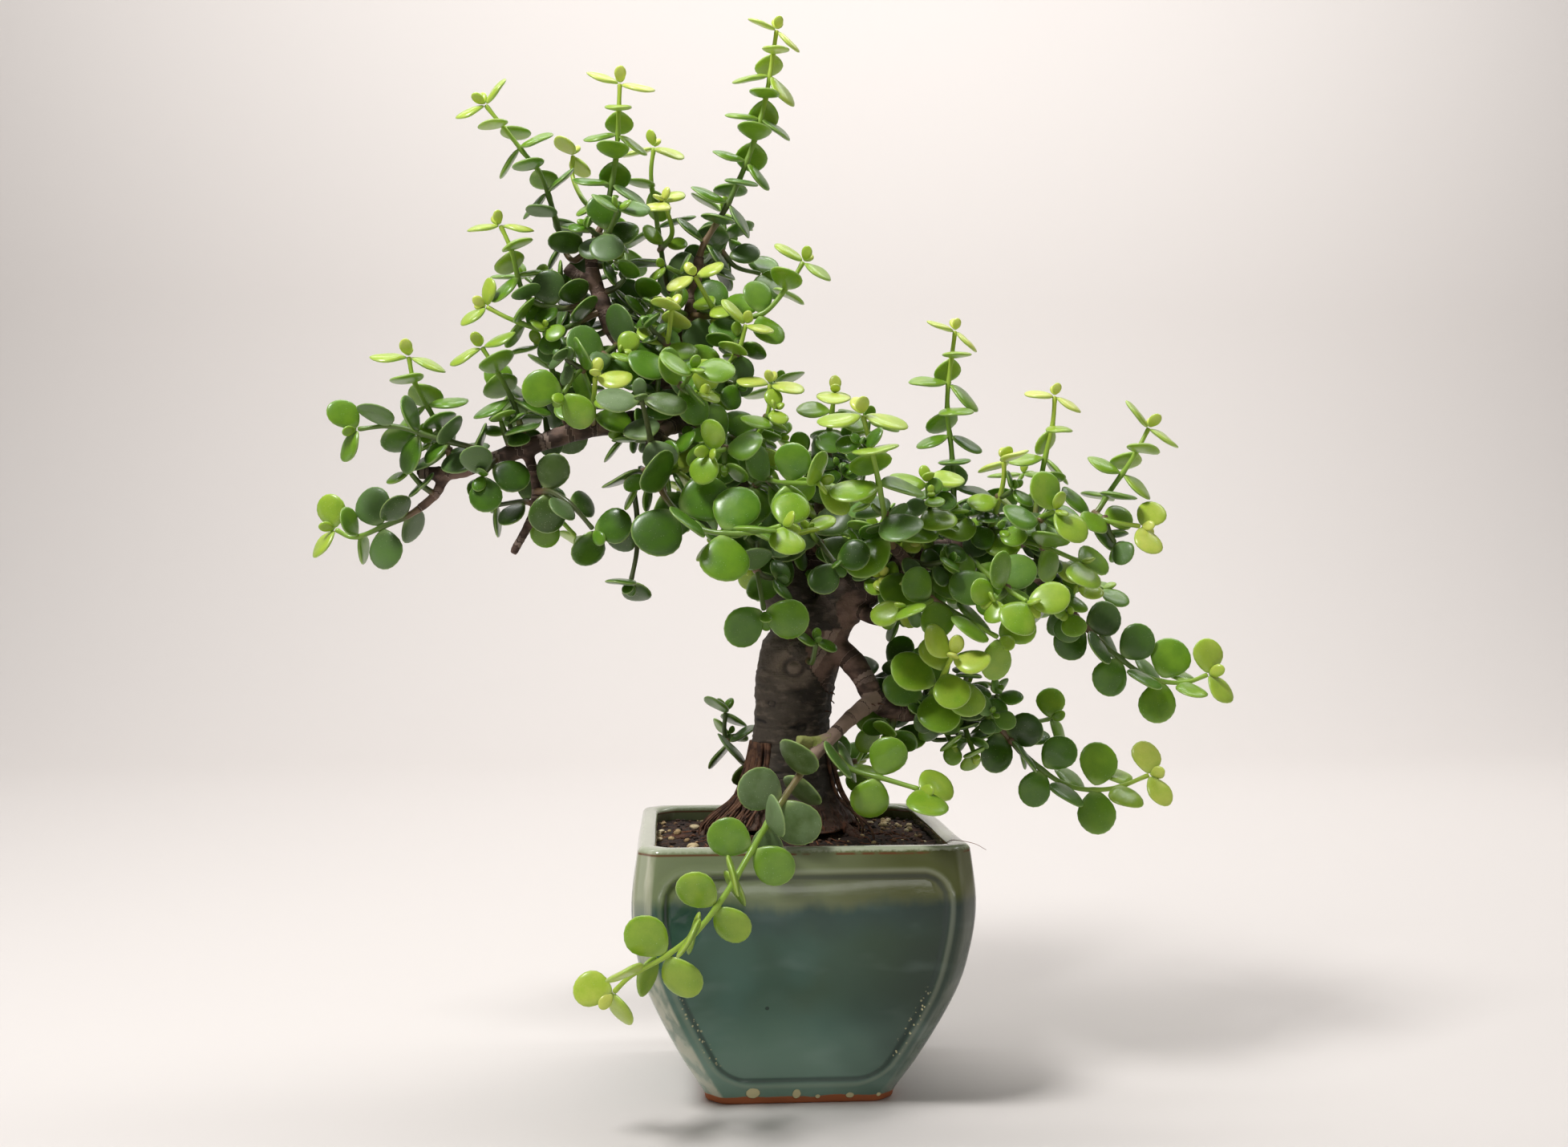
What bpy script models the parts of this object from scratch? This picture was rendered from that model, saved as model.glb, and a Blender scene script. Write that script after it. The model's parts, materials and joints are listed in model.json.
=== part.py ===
# Potted mini jade plant: glazed square pot, drain screen, soil, woody trunk and leafy shoots.
# Metres, +Z up. The origin is the middle of the pot's underside, and the pot's sides face X and Y.
# Lengths below are in millimetres.

import math
import random

import bmesh
import bpy
from mathutils import Matrix, Vector
from mathutils.bvhtree import BVHTree

MM = 0.001
TOUCH_GAP = 0.3
CUTTER_REACH = 5.0
# A face points a given way where its normal's share of that way is above this
FACING = 0.75
# Points nearer than this count as level with each other
LEVEL = 0.05

# Pot: height and half width of the outer wall, from the foot up to the rim
POT_PROFILE = [(0, 32.2), (3.5, 33.2), (17, 40.5), (40, 51), (55, 55), (70, 56.6), (86, 55.3), (90, 54.5)]
POT_WALL = 5.5
POT_FLOOR = 6.0
POT_CORNER_CUT = 5.5
PANEL_LEVELS = (3.5, 86)
PANEL_BORDER = 4.5
PANEL_STEP = 1.0
PANEL_DEPTH = 1.0
DRAIN_HOLE_RADIUS = 4.5
DRAIN_HOLE_X = 14.0

# Drain screen: a square plastic mesh that lies on the floor over both holes
SCREEN_LENGTH = 42.0
SCREEN_WIDTH = 15.0
SCREEN_THICKNESS = 1.2
SCREEN_CELLS = (6, 2)
SCREEN_BAR = 1.2

# Soil: its edge, the rise to the trunk and the lumps on top
SOIL_EDGE = 86.0
SOIL_RISE = 4.0
SOIL_MOUND_RADIUS = 48.0
SOIL_CELLS = 8
SOIL_LUMP = 0.7
# Two crossing waves make the lumps: radians per millimetre along X and Y, the start and the share
SOIL_WAVES = [(0.61, 0.53, 1.3, 1.0), (0.33, 0.24, 2.0, 0.6)]
# The soil is level this far round the trunk's foot, and the lumps fade in over the next stretch
SOIL_LEVEL_RING = 3.0
SOIL_FADE = 8.0

# Trunk: it stands in a plain round hole in the soil
TRUNK_FOOT = 62.0
TRUNK_HOLE_RADIUS = 17.0
TRUNK_SIDES = 10
# The root flare's lobes: their depth as a share of the radius, and radians from side to side
LOBE_DEPTH = 0.12
LOBE_TURN = 2.4
LIMB_SIDES = 6
LIMB_STEP = 15.0
# Above 1 a limb tapers late, below 1 it tapers early
TAPER = 0.75

# Wood: centreline points and the radius at each end of every limb
TRUNK = [(-1, 0, 89.4), (-1, 0, 94), (-1, 0, 100), (-1, 0, 107), (-1, 0, 115), (-1, 0, 126), (0, 0, 141),
         (3, 0, 153), (5, 0, 163)]
TRUNK_RADII = [24, 20.5, 17.5, 15.6, 14.4, 13.6, 14.2, 14.8, 10]
LIMBS = {
    "leftLimb": (
        [(4, 0, 152), (-3, 2, 175), (-13, 5, 192), (-22, 6, 210), (-32, 5, 226), (-41, 5, 243),
         (-53, 4, 257), (-64, 3, 267), (-70, 2, 280), (-73, 2, 291), (-73, 3, 299)], 11.0, 2.2),
    "rightLimb": (
        [(6, -2, 154), (17, -5, 169), (31, -8, 179), (48, -9, 186), (67, -9, 190), (87, -8, 194),
         (103, -7, 198)], 10.5, 2.0),
    "middleLimb": ([(5, 4, 160), (8, 11, 179), (11, 15, 197), (13, 15, 215), (13, 11, 229)], 7.0, 2.0),
    "lowBranch": (
        [(6, -2, 158), (18, -8, 151), (24, -12, 143), (28, -14, 135), (37, -13, 131), (51, -9, 131),
         (65, -5, 132), (73, -3, 129)], 5.5, 2.0),
    "hangBranch": ([(28, -14, 136), (18, -25, 130), (10, -35, 124), (4, -42, 119), (0, -47, 116)], 3.4, 1.9),
    "leftBranch": (
        [(-40, 5, 241), (-55, -4, 235), (-72, -7, 232), (-88, -8, 227), (-105, -7, 221), (-121, -3, 216),
         (-134, -1, 216)], 4.6, 2.3),
    "crownRight": ([(-45, 5, 248), (-40, 11, 266), (-36, 11, 284), (-34, 8, 297)], 3.6, 1.9),
    "frontLimb": ([(-37, 4, 235), (-46, -13, 231), (-51, -24, 223), (-48, -33, 211)], 3.6, 1.9),
    "downTwig": ([(-96, -7, 225), (-92, -8, 213), (-93, -7, 201), (-100, -7, 187)], 2.1, 1.5),
    "lowTwig": ([(-123, -3, 216), (-126, -1, 212), (-128, -1, 208), (-134, 0, 203)], 2.0, 1.5),
    "rightTwig": ([(72, -9, 190), (83, -3, 183), (95, -2, 174), (103, -2, 165)], 2.4, 1.7),
    "frontRight": ([(38, -9, 182), (37, -27, 184), (31, -36, 189)], 3.2, 1.9),
    "backLimb": ([(8, 10, 178), (12, 29, 188), (22, 43, 201)], 4.4, 2.4),
    "cutStub": ([(10, -35, 124), (3, -40, 123), (-2, -43, 124)], 2.0, 1.9),
    "rightStub": ([(20, -6, 169), (26, -16, 165), (31, -20, 164)], 3.2, 2.6),
    "crownStub": ([(-71, 2, 284), (-78, -1, 287), (-82, -2, 290)], 2.4, 2.2),
}

# Leafy shoots: what each grows from, its leaf length, its pairs of leaves and its route.
# A shoot that grows from another shoot is fused to it.
SHOOTS = [
    ("leaderRight", "crownRight", 14, 11, [(-32, 7, 302), (-24, 5, 315), (-16, 3, 333), (-10, 3, 354),
         (-6, 2, 379)]),
    ("leaderMiddle", "leftLimb", 14, 7, [(-69, 3, 308), (-66, 3, 321), (-64, 3, 335), (-63, 2, 358)]),
    ("leaderLeft", "leftLimb", 14, 8, [(-82, 8, 296), (-91, 10, 324), (-99, 9, 335), (-112, 8, 351)]),
    ("crownLeft", "leftLimb", 14, 6, [(-83, -2, 275), (-96, -3, 279), (-101, -5, 295), (-105, -5, 304)]),
    ("crownFrontTip", "leftLimb", 14, 3, [(-46, -17, 260), (-44, -21, 272)]),
    ("crownEast", "crownRight", 15, 5, [(-26, -1, 273), (-12, -7, 273), (-2, -8, 284), (3, -8, 292)]),
    ("crownMidTip", "crownEast", 13, 2, [(-31, -5, 278), (-36, -9, 286)]),
    ("crownEastLow", "leftLimb", 14, 4, [(-29, -10, 250), (-21, -15, 258), (-18, -15, 268)]),
    ("crownBackTip", "leaderMiddle", 13, 2, [(-75, 12, 316), (-81, 21, 328), (-81, 21, 337)]),
    ("crownFrontUp", "leaderMiddle", 15, 3, [(-67, -9, 300), (-63, -18, 307)]),
    ("crownBackMid", "crownRight", 15, 5, [(-45, 18, 286), (-49, 24, 308), (-52, 26, 330), (-51, 26, 342)]),
    ("crownTopTip", "crownBackMid", 13, 2, [(-44, 10, 306), (-47, 2, 315)]),
    ("crownWest", "leftLimb", 14, 4, [(-86, -2, 267), (-100, -5, 270), (-110, -4, 275)]),
    ("crownWestBack", "leftLimb", 16, 3, [(-73, 19, 279), (-89, 36, 286), (-101, 45, 296)]),
    ("westBackLow", "crownWestBack", 16, 2, [(-78, 44, 275), (-84, 58, 269)]),
    ("crownBackRight", "crownRight", 15, 4, [(-31, 20, 296), (-24, 30, 307), (-25, 34, 320)]),
    ("crownEastBack", "crownBackRight", 15, 2, [(-20, 30, 298), (-10, 33, 296)]),
    ("crownFront", "leftLimb", 16, 5, [(-45, -21, 254), (-41, -35, 243), (-37, -45, 247)]),
    ("crownFrontWest", "leftLimb", 15, 4, [(-67, -15, 257), (-76, -25, 249), (-81, -28, 241)]),
    ("crownBack", "leftLimb", 16, 4, [(-58, 28, 276), (-61, 48, 295), (-63, 57, 311)]),
    ("crownBackLow", "crownBack", 16, 2, [(-44, 46, 280), (-31, 56, 286)]),
    ("westUpper", "leftBranch", 15, 4, [(-97, -9, 231), (-100, -9, 241), (-106, -8, 252), (-111, -8, 260)]),
    ("westTip", "leftBranch", 15, 5, [(-123, -4, 224), (-128, -5, 235), (-135, -4, 248), (-137, -4, 257)]),
    ("westFar", "leftBranch", 16, 5, [(-110, -12, 223), (-126, -15, 227), (-140, -14, 231),
         (-153, -13, 230)]),
    ("westLow", "lowTwig", 15, 4, [(-139, 0, 200), (-146, 0, 197), (-157, 3, 193), (-164, 4, 196)]),
    ("westFront", "leftBranch", 17, 2, [(-107, -16, 217), (-108, -28, 213)]),
    ("westDownFront", "downTwig", 16, 3, [(-85, -16, 208), (-78, -21, 203), (-71, -21, 195)]),
    ("westDownLeft", "downTwig", 15, 2, [(-98, 1, 206), (-108, 8, 205)]),
    ("westDownBack", "downTwig", 15, 2, [(-87, 4, 202), (-79, 10, 194)]),
    ("westInner", "leftBranch", 15, 4, [(-83, 0, 238), (-86, 2, 251), (-92, 7, 263)]),
    ("westBack", "westInner", 15, 3, [(-94, 18, 243), (-106, 32, 249)]),
    ("westInnerFront", "leftBranch", 15, 3, [(-71, -21, 238), (-70, -29, 247)]),
    ("frontHook", "frontLimb", 16, 3, [(-57, -24, 212), (-56, -22, 200), (-56, -22, 188), (-58, -24, 177)]),
    ("frontSweep", "frontLimb", 18, 6, [(-46, -39, 205), (-39, -43, 197), (-30, -48, 193),
         (-17, -51, 193), (-8, -54, 195)]),
    ("frontGrey", "frontLimb", 17, 2, [(-52, -36, 229), (-54, -45, 237)]),
    ("midUp", "leftLimb", 15, 4, [(-18, -11, 224), (-11, -21, 234), (-10, -23, 246)]),
    ("midTips", "midUp", 15, 4, [(-25, -16, 228), (-26, -34, 222), (-31, -44, 220)]),
    ("midRight", "middleLimb", 15, 3, [(14, 7, 235), (15, 1, 246)]),
    ("midFront", "leftLimb", 16, 5, [(-13, -25, 212), (-7, -42, 210), (4, -54, 209)]),
    ("midDrop", "leftLimb", 17, 4, [(-15, -22, 190), (-15, -35, 180), (-13, -39, 167)]),
    ("midLow", "middleLimb", 16, 4, [(5, -14, 195), (7, -30, 190), (11, -41, 183)]),
    ("midBack", "leftLimb", 16, 3, [(-13, 23, 221), (-8, 41, 239), (-4, 50, 255)]),
    ("trunkSprig", "trunk", 11, 1, [(5, -20, 149), (6, -24, 156)]),
    ("eastLeader", "rightLimb", 14, 9, [(60, 4, 203), (59, 6, 225), (57, 4, 244), (60, 4, 270)]),
    ("eastSecond", "rightLimb", 14, 5, [(88, -4, 202), (91, -3, 219), (94, -5, 234), (95, -5, 245)]),
    ("eastFar", "rightLimb", 15, 5, [(109, -8, 202), (115, -8, 211), (122, -11, 222), (128, -11, 233)]),
    ("eastOut", "eastFar", 14, 2, [(112, -14, 199), (123, -17, 197)]),
    ("eastTips", "rightLimb", 14, 3, [(69, -19, 198), (71, -27, 211), (71, -29, 219)]),
    ("eastFront", "frontRight", 18, 5, [(27, -48, 197), (23, -56, 212), (18, -59, 231)]),
    ("eastFrontUp", "rightLimb", 16, 4, [(46, -25, 194), (43, -35, 211)]),
    ("eastFrontLow", "rightLimb", 17, 5, [(61, -26, 184), (65, -43, 177), (73, -55, 170)]),
    ("eastInner", "rightLimb", 16, 3, [(78, -20, 192), (86, -28, 189), (97, -31, 184)]),
    ("eastInnerUp", "eastInner", 17, 3, [(82, -33, 198), (86, -40, 201)]),
    ("eastDropFront", "rightLimb", 16, 4, [(43, -25, 179), (44, -39, 171), (34, -47, 168)]),
    ("eastDropMid", "eastDropFront", 17, 3, [(54, -40, 165), (66, -43, 158)]),
    ("eastDrop", "rightTwig", 16, 7, [(106, -4, 161), (115, -8, 152), (127, -11, 143), (139, -14, 141),
         (148, -15, 144)]),
    ("backCenter", "backLimb", 16, 4, [(29, 48, 211), (33, 52, 227), (34, 52, 242)]),
    ("backMid", "backCenter", 16, 2, [(20, 58, 215), (12, 66, 227)]),
    ("backEast", "rightLimb", 16, 3, [(71, 11, 197), (83, 28, 207), (93, 38, 220)]),
    ("backEastLow", "rightTwig", 16, 3, [(91, 12, 185), (107, 26, 179), (123, 33, 175)]),
    ("lowBack", "backLimb", 16, 3, [(29, 46, 186), (43, 55, 176), (56, 58, 167)]),
    ("backDrop", "lowBack", 15, 2, [(20, 57, 178), (8, 62, 170)]),
    ("lowInner", "lowBranch", 15, 3, [(29, 0, 142), (38, 9, 145), (51, 14, 145)]),
    ("lowFront", "lowBranch", 17, 5, [(46, -21, 137), (47, -37, 143), (49, -49, 152)]),
    ("lowMid", "lowBranch", 15, 2, [(46, -5, 127), (51, 0, 120), (65, 3, 121)]),
    ("lowEast", "lowBranch", 16, 7, [(75, -4, 124), (84, -6, 114), (98, -9, 104), (113, -12, 103),
         (127, -13, 108)]),
    ("lowEastBack", "lowEast", 14, 2, [(86, 8, 124), (98, 16, 126)]),
    ("trunkLeft", "trunk", 15, 3, [(-18, 13, 111), (-24, 20, 119), (-24, 20, 129)]),
    ("trunkBack", "trunk", 15, 3, [(20, 19, 106), (27, 26, 111), (31, 28, 120)]),
    ("hangSide", "hangBranch", 17, 3, [(16, -39, 114), (27, -44, 111), (38, -49, 108)]),
    ("hangFront", "hangBranch", 16, 10, [(-3, -52, 112), (-11, -59, 102), (-19, -69, 91), (-27, -74, 79),
         (-36, -76, 68), (-46, -75, 60), (-56, -72, 54), (-62, -70, 48)]),
]

STEM_SIDES = 3
STEM_RADIUS = (1.3, 0.85)
STEM_STEP = 13.0
STEM_CLEARANCE = 0.05
SEATING_STEPS = 8
# A route's first point is dropped where it lies nearer than this to where the stem starts
FIRST_STEP = 2.5
# The first pair's distance from the stem's start, and the last pair's from its end
FIRST_PAIR = 4.5
TIP_INSET = 0.4

# Leaf: half of its outline as shares of the length and width, and its deepest point under the blade
LEAF_OUTLINE = [(0.24, 0.40), (0.63, 0.50), (0.95, 0.27)]
LEAF_KEEL = 0.58
LEAF_THICKNESS = 2.1
# The blade's edge lies this share of the thickness above the leaf's root
LEAF_EDGE = 0.25
LEAF_ROOT = 0.3
LEAF_SEED = 36
LEAF_SIZES = (0.9, 1.08)
LEAF_WIDTHS = (0.86, 0.98)
# Smaller leaves at the tip, counted back from it
TIP_SIZES = {0: 0.88, 1: 0.92}
# Rise from square to the stem, in degrees, and what the tip's pair rises more
LEAF_RISE = (0, 20)
TIP_RISE = 18
RISE_DIFFERENCE = 7
# Leaves on upright stems droop by up to these degrees on the side away from the window
SHADE_DROOP = 62
WINDOW_SIDE = Vector((-0.5, -0.85, 0)).normalized()
# On a level stem the pairs turn by only this share of a quarter turn
LEVEL_TURN = 0.5
# A pair may stand this far off its quarter turn, in radians
PAIR_TURN = 0.25
# The blade faces the light by the first share, and by the second one more where the stem lies level
LIGHT = Vector((-0.1, -0.65, 0.75)).normalized()
LIGHT_PULL = (0.48, 0.38)

# Room kept round a leaf, and how far from the stem's middle its test starts
LEAF_CLEARANCE = 0.4
TEST_ROOT = 2.6
# Tries for a leaf that would meet something: degrees round the stem, degrees of rise, and size
LEAF_TRIES = [(0, 0, 1), (0, 18, 1), (0, -18, 1), (25, 8, 0.92), (-25, 8, 0.92), (40, 25, 0.8),
              (-40, 25, 0.8), (0, 35, 0.7)]
# Two directions count as parallel where what sets them apart is shorter than this
PARALLEL = 0.2


def clearScene():
    for item in list(bpy.data.objects):
        bpy.data.objects.remove(item)


def material(name, colour, roughness):
    made = bpy.data.materials.new(name)
    made.use_nodes = True
    shader = made.node_tree.nodes["Principled BSDF"]
    shader.inputs["Base Color"].default_value = (*colour, 1)
    shader.inputs["Roughness"].default_value = roughness
    shader.inputs["Metallic"].default_value = 0
    return made


def addObject(name, bm, look=None):
    bmesh.ops.recalc_face_normals(bm, faces=bm.faces[:])
    mesh = bpy.data.meshes.new(name)
    bm.to_mesh(mesh)
    bm.free()
    item = bpy.data.objects.new(name, mesh)
    bpy.context.scene.collection.objects.link(item)
    if look:
        mesh.materials.append(look)
    return item


def combine(target, pieces, operation):
    # One Boolean of the target with a collection of pieces, applied; the pieces are then removed.
    group = bpy.data.collections.new("pieces")
    bpy.context.scene.collection.children.link(group)
    for piece in pieces:
        bpy.context.scene.collection.objects.unlink(piece)
        group.objects.link(piece)
    boolean = target.modifiers.new("combine", "BOOLEAN")
    boolean.operation = operation
    boolean.solver = "EXACT"
    boolean.operand_type = "COLLECTION"
    boolean.collection = group
    graph = bpy.context.evaluated_depsgraph_get()
    graph.update()
    joined = bpy.data.meshes.new_from_object(target.evaluated_get(graph))
    target.modifiers.remove(boolean)
    for piece in pieces:
        bpy.data.objects.remove(piece)
    bpy.data.collections.remove(group)
    target.data = joined


def shadeRound(item, sharp_degrees):
    item.data.shade_smooth()
    item.data.set_sharp_from_angle(angle=math.radians(sharp_degrees))


def pointsTo(face, way):
    return face.normal.dot(way) > FACING


def smoothRoute(points, step):
    # Points about one step apart on a smooth curve through the given ones.
    points = [Vector(point) for point in points]
    ends = [points[0] * 2 - points[1]] + points + [points[-1] * 2 - points[-2]]
    route = [points[0]]
    for before, start, stop, after in zip(ends, ends[1:], ends[2:], ends[3:]):
        pieces = max(1, round((stop - start).length / step))
        for index in range(1, pieces + 1):
            t = index / pieces
            bend = (2 * before - 5 * start + 4 * stop - after) * t * t
            twist = (3 * start - 3 * stop + after - before) * t * t * t
            route.append((2 * start + (stop - before) * t + bend + twist) / 2)
    return route


def headings(route):
    ahead = [(b - a).normalized() for a, b in zip(route, route[1:])]
    middles = [(a + b).normalized() for a, b in zip(ahead, ahead[1:])]
    return [ahead[0]] + middles + [ahead[-1]]


def frames(route):
    # A direction and a side for each point of a route, with the side carried along without twist.
    ways = headings(route)
    side = ways[0].cross(Vector((0, -1, 0)))
    if side.length < PARALLEL:
        side = ways[0].cross(Vector((0, 0, 1)))
    sides = []
    for way in ways:
        side = (side - way * side.dot(way)).normalized()
        sides.append(side.copy())
    return list(zip(ways, sides))


def tube(bm, route, radii, sides, lobe_depth=0.0):
    # Rings along a route, bridged one to the next, with closed ends. A flat side faces the carried side.
    rings = []
    half_side = Matrix.Rotation(math.pi / sides, 4, "Z")
    for point, radius, (way, side) in zip(route, radii, frames(route)):
        turn = Matrix((side, way.cross(side), way)).transposed().to_4x4()
        place = Matrix.Translation(point * MM) @ turn @ half_side
        ring = bmesh.ops.create_circle(bm, segments=sides, radius=radius * MM, matrix=place)["verts"]
        for index, vert in enumerate(ring):
            swell = 1 + lobe_depth * (radius / max(radii)) ** 3 * math.sin(1 + index * LOBE_TURN)
            vert.co = point * MM + (vert.co - point * MM) * swell
        rings.append(ring)
    edges = [[edge for edge in {e for v in ring for e in v.link_edges}] for ring in rings]
    for lower, upper in zip(edges, edges[1:]):
        bmesh.ops.bridge_loops(bm, edges=lower + upper)
    for ring in (rings[0], rings[-1]):
        bm.faces.new(ring)


def raiseFaces(bm, faces, half_before, level, keep=False):
    # Extrude faces to a new height and half width; the faces they leave are deleted unless kept.
    height, half = level
    grown = bmesh.ops.extrude_face_region(bm, geom=faces)["geom"]
    if not keep:
        bmesh.ops.delete(bm, geom=faces, context="FACES_KEEP_BOUNDARY")
    for item in grown:
        if isinstance(item, bmesh.types.BMVert):
            item.co = (item.co.x * half / half_before, item.co.y * half / half_before, height * MM)
    return [item for item in grown if isinstance(item, bmesh.types.BMFace)]


def squareLoft(levels, corner, cells=1):
    # A square plate raised level by level, each with its half width.
    bm = bmesh.new()
    base_height, base_half = levels[0]
    made = bmesh.ops.create_grid(bm, x_segments=cells, y_segments=cells, size=base_half * MM)
    bmesh.ops.translate(bm, verts=made["verts"], vec=(0, 0, base_height * MM))
    top = bm.faces[:]
    for (_, half_before), level in zip(levels, levels[1:]):
        top = raiseFaces(bm, top, half_before, level, keep=(half_before == base_half))
    if corner:
        upright = [edge for edge in bm.edges if isCornerEdge(edge)]
        bmesh.ops.bevel(bm, geom=upright, offset=corner * MM, segments=1, profile=0.5, affect="EDGES",
                        material=-1, offset_type="OFFSET")
    bmesh.ops.recalc_face_normals(bm, faces=bm.faces[:])
    return bm


def isCornerEdge(edge):
    low, high = edge.verts
    climbs = abs(low.co.z - high.co.z) > LEVEL * MM
    return climbs and all(onDiagonal(vert) for vert in edge.verts)


def onDiagonal(vert):
    return abs(abs(vert.co.x) - abs(vert.co.y)) < LEVEL * MM


def potHalfWidth(height):
    for (low, half_low), (high, half_high) in zip(POT_PROFILE, POT_PROFILE[1:]):
        if height <= high:
            return half_low + (half_high - half_low) * (height - low) / (high - low)
    return POT_PROFILE[-1][1]


def cylinder(x, y, low, high, radius, top_radius=None, sides=16):
    # Also a cone, with a radius of its own at the top.
    bm = bmesh.new()
    place = Matrix.Translation(Vector((x, y, (low + high) / 2)) * MM)
    bmesh.ops.create_cone(bm, cap_ends=True, segments=sides, radius1=radius * MM,
                          radius2=(top_radius or radius) * MM, depth=(high - low) * MM, matrix=place)
    return addObject("cutter", bm)


def makePot(look):
    bm = squareLoft(POT_PROFILE, POT_CORNER_CUT)
    low, high = PANEL_LEVELS
    for way in (Vector((1, 0, 0)), Vector((-1, 0, 0)), Vector((0, 1, 0)), Vector((0, -1, 0))):
        side = [face for face in bm.faces if pointsTo(face, way)
                and min(v.co.z for v in face.verts) > (low - LEVEL) * MM
                and max(v.co.z for v in face.verts) < (high + LEVEL) * MM]
        bmesh.ops.inset_region(bm, faces=side, thickness=PANEL_BORDER * MM, use_even_offset=True)
        bmesh.ops.inset_region(bm, faces=side, thickness=PANEL_STEP * MM, depth=-PANEL_DEPTH * MM,
                               use_even_offset=True)
    top = [face for face in bm.faces if pointsTo(face, Vector((0, 0, 1)))]
    bmesh.ops.inset_region(bm, faces=top, thickness=POT_WALL * MM, use_even_offset=True)
    heights = [height for height, _ in reversed(POT_PROFILE[:-1]) if height > POT_FLOOR] + [POT_FLOOR]
    before = POT_PROFILE[-1][1] - POT_WALL
    for height in heights:
        inner = potHalfWidth(height) - POT_WALL
        top = raiseFaces(bm, top, before, (height, inner))
        before = inner
    pot = addObject("pot", bm, look)
    holes = [cylinder(x, 0, -CUTTER_REACH, POT_FLOOR + CUTTER_REACH, DRAIN_HOLE_RADIUS)
             for x in (-DRAIN_HOLE_X, DRAIN_HOLE_X)]
    combine(pot, holes, "DIFFERENCE")
    shadeRound(pot, 20)
    return pot


def makeScreen(look):
    bm = bmesh.new()
    across, along = SCREEN_CELLS
    made = bmesh.ops.create_grid(bm, x_segments=across, y_segments=along, size=0.5)
    floor = POT_FLOOR + TOUCH_GAP
    for vert in made["verts"]:
        vert.co = (vert.co.x * SCREEN_LENGTH * MM, vert.co.y * SCREEN_WIDTH * MM, floor * MM)
    cells = bm.faces[:]
    bmesh.ops.inset_individual(bm, faces=cells, thickness=SCREEN_BAR / 2 * MM)
    bmesh.ops.delete(bm, geom=cells, context="FACES_ONLY")
    bmesh.ops.solidify(bm, geom=bm.faces[:], thickness=-SCREEN_THICKNESS * MM)
    return addObject("drain_screen", bm, look)


def soilHeight(x, y):
    # Low at the wall, risen towards the trunk, with lumps of a few widths.
    reach = math.hypot(x - TRUNK[0][0], y - TRUNK[0][1])
    mound = SOIL_RISE * max(0, 1 - reach / SOIL_MOUND_RADIUS) ** 0.8
    lumps = sum(share * math.sin(x * across + start) * math.cos(y * along)
                for across, along, start, share in SOIL_WAVES)
    clear = max(0, min(1, (reach - TRUNK_RADII[0] - SOIL_LEVEL_RING) / SOIL_FADE))
    return SOIL_EDGE + mound + SOIL_LUMP * clear * lumps


def makeSoil(look):
    low = POT_FLOOR + SCREEN_THICKNESS + 2 * TOUCH_GAP
    heights = [low] + [height for height, _ in POT_PROFILE if low < height < SOIL_EDGE] + [SOIL_EDGE]
    levels = [(height, potHalfWidth(height) - POT_WALL - TOUCH_GAP) for height in heights]
    bm = squareLoft(levels, 0, SOIL_CELLS)
    edge_cut = 0.5 * (POT_CORNER_CUT + TOUCH_GAP)
    for vert in bm.verts:
        wall = potHalfWidth(vert.co.z / MM) - POT_WALL - TOUCH_GAP
        if onDiagonal(vert) and abs(vert.co.x) > (wall - LEVEL) * MM:
            vert.co.x -= math.copysign(edge_cut * MM, vert.co.x)
            vert.co.y -= math.copysign(edge_cut * MM, vert.co.y)
        if vert.co.z > (SOIL_EDGE - LEVEL) * MM:
            vert.co.z = soilHeight(vert.co.x / MM, vert.co.y / MM) * MM
    bmesh.ops.dissolve_faces(bm, faces=[face for face in bm.faces if pointsTo(face, Vector((0, 0, -1)))])
    bmesh.ops.triangulate(bm, faces=[face for face in bm.faces if pointsTo(face, Vector((0, 0, 1)))])
    soil = addObject("soil", bm, look)
    x, y, _ = TRUNK[0]
    hole = cylinder(x, y, TRUNK_FOOT - TOUCH_GAP, SOIL_EDGE + SOIL_RISE + CUTTER_REACH,
                    TRUNK_HOLE_RADIUS + TOUCH_GAP, sides=TRUNK_SIDES)
    combine(soil, [hole], "DIFFERENCE")
    return soil


def limbRadii(route, start, stop):
    lengths = [0]
    for a, b in zip(route, route[1:]):
        lengths.append(lengths[-1] + (b - a).length)
    return [start + (stop - start) * (length / lengths[-1]) ** TAPER for length in lengths]


def makeWood(look):
    # The trunk flares into rooted lobes that stop just above the soil, over a plain round shaft in it.
    bm = bmesh.new()
    route = [Vector(point) for point in TRUNK]
    tube(bm, route, TRUNK_RADII, TRUNK_SIDES, LOBE_DEPTH)
    wood = addObject("trunk", bm, look)
    x, y, _ = TRUNK[0]
    pieces = [cylinder(x, y, TRUNK_FOOT, TRUNK[1][2], TRUNK_HOLE_RADIUS, sides=TRUNK_SIDES)]
    for points, start, stop in LIMBS.values():
        bm = bmesh.new()
        route = smoothRoute(points, LIMB_STEP)
        tube(bm, route, limbRadii(route, start, stop), LIMB_SIDES)
        pieces.append(addObject("limb", bm))
    combine(wood, pieces, "UNION")
    shadeRound(wood, 60)
    return wood


class Shoot:
    def __init__(self, name, parent, leaf, pairs, points):
        self.name = name
        self.parent = parent
        self.leaf = leaf
        self.pairs = pairs
        self.points = [Vector(point) for point in points]
        self.route = []


def nearest(route, point):
    # The closest point on a centreline.
    spots = []
    for a, b in zip(route, route[1:]):
        t = max(0, min(1, (point - a).dot(b - a) / (b - a).length_squared))
        spots.append(a + (b - a) * t)
    return min(spots, key=lambda spot: (point - spot).length)


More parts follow.
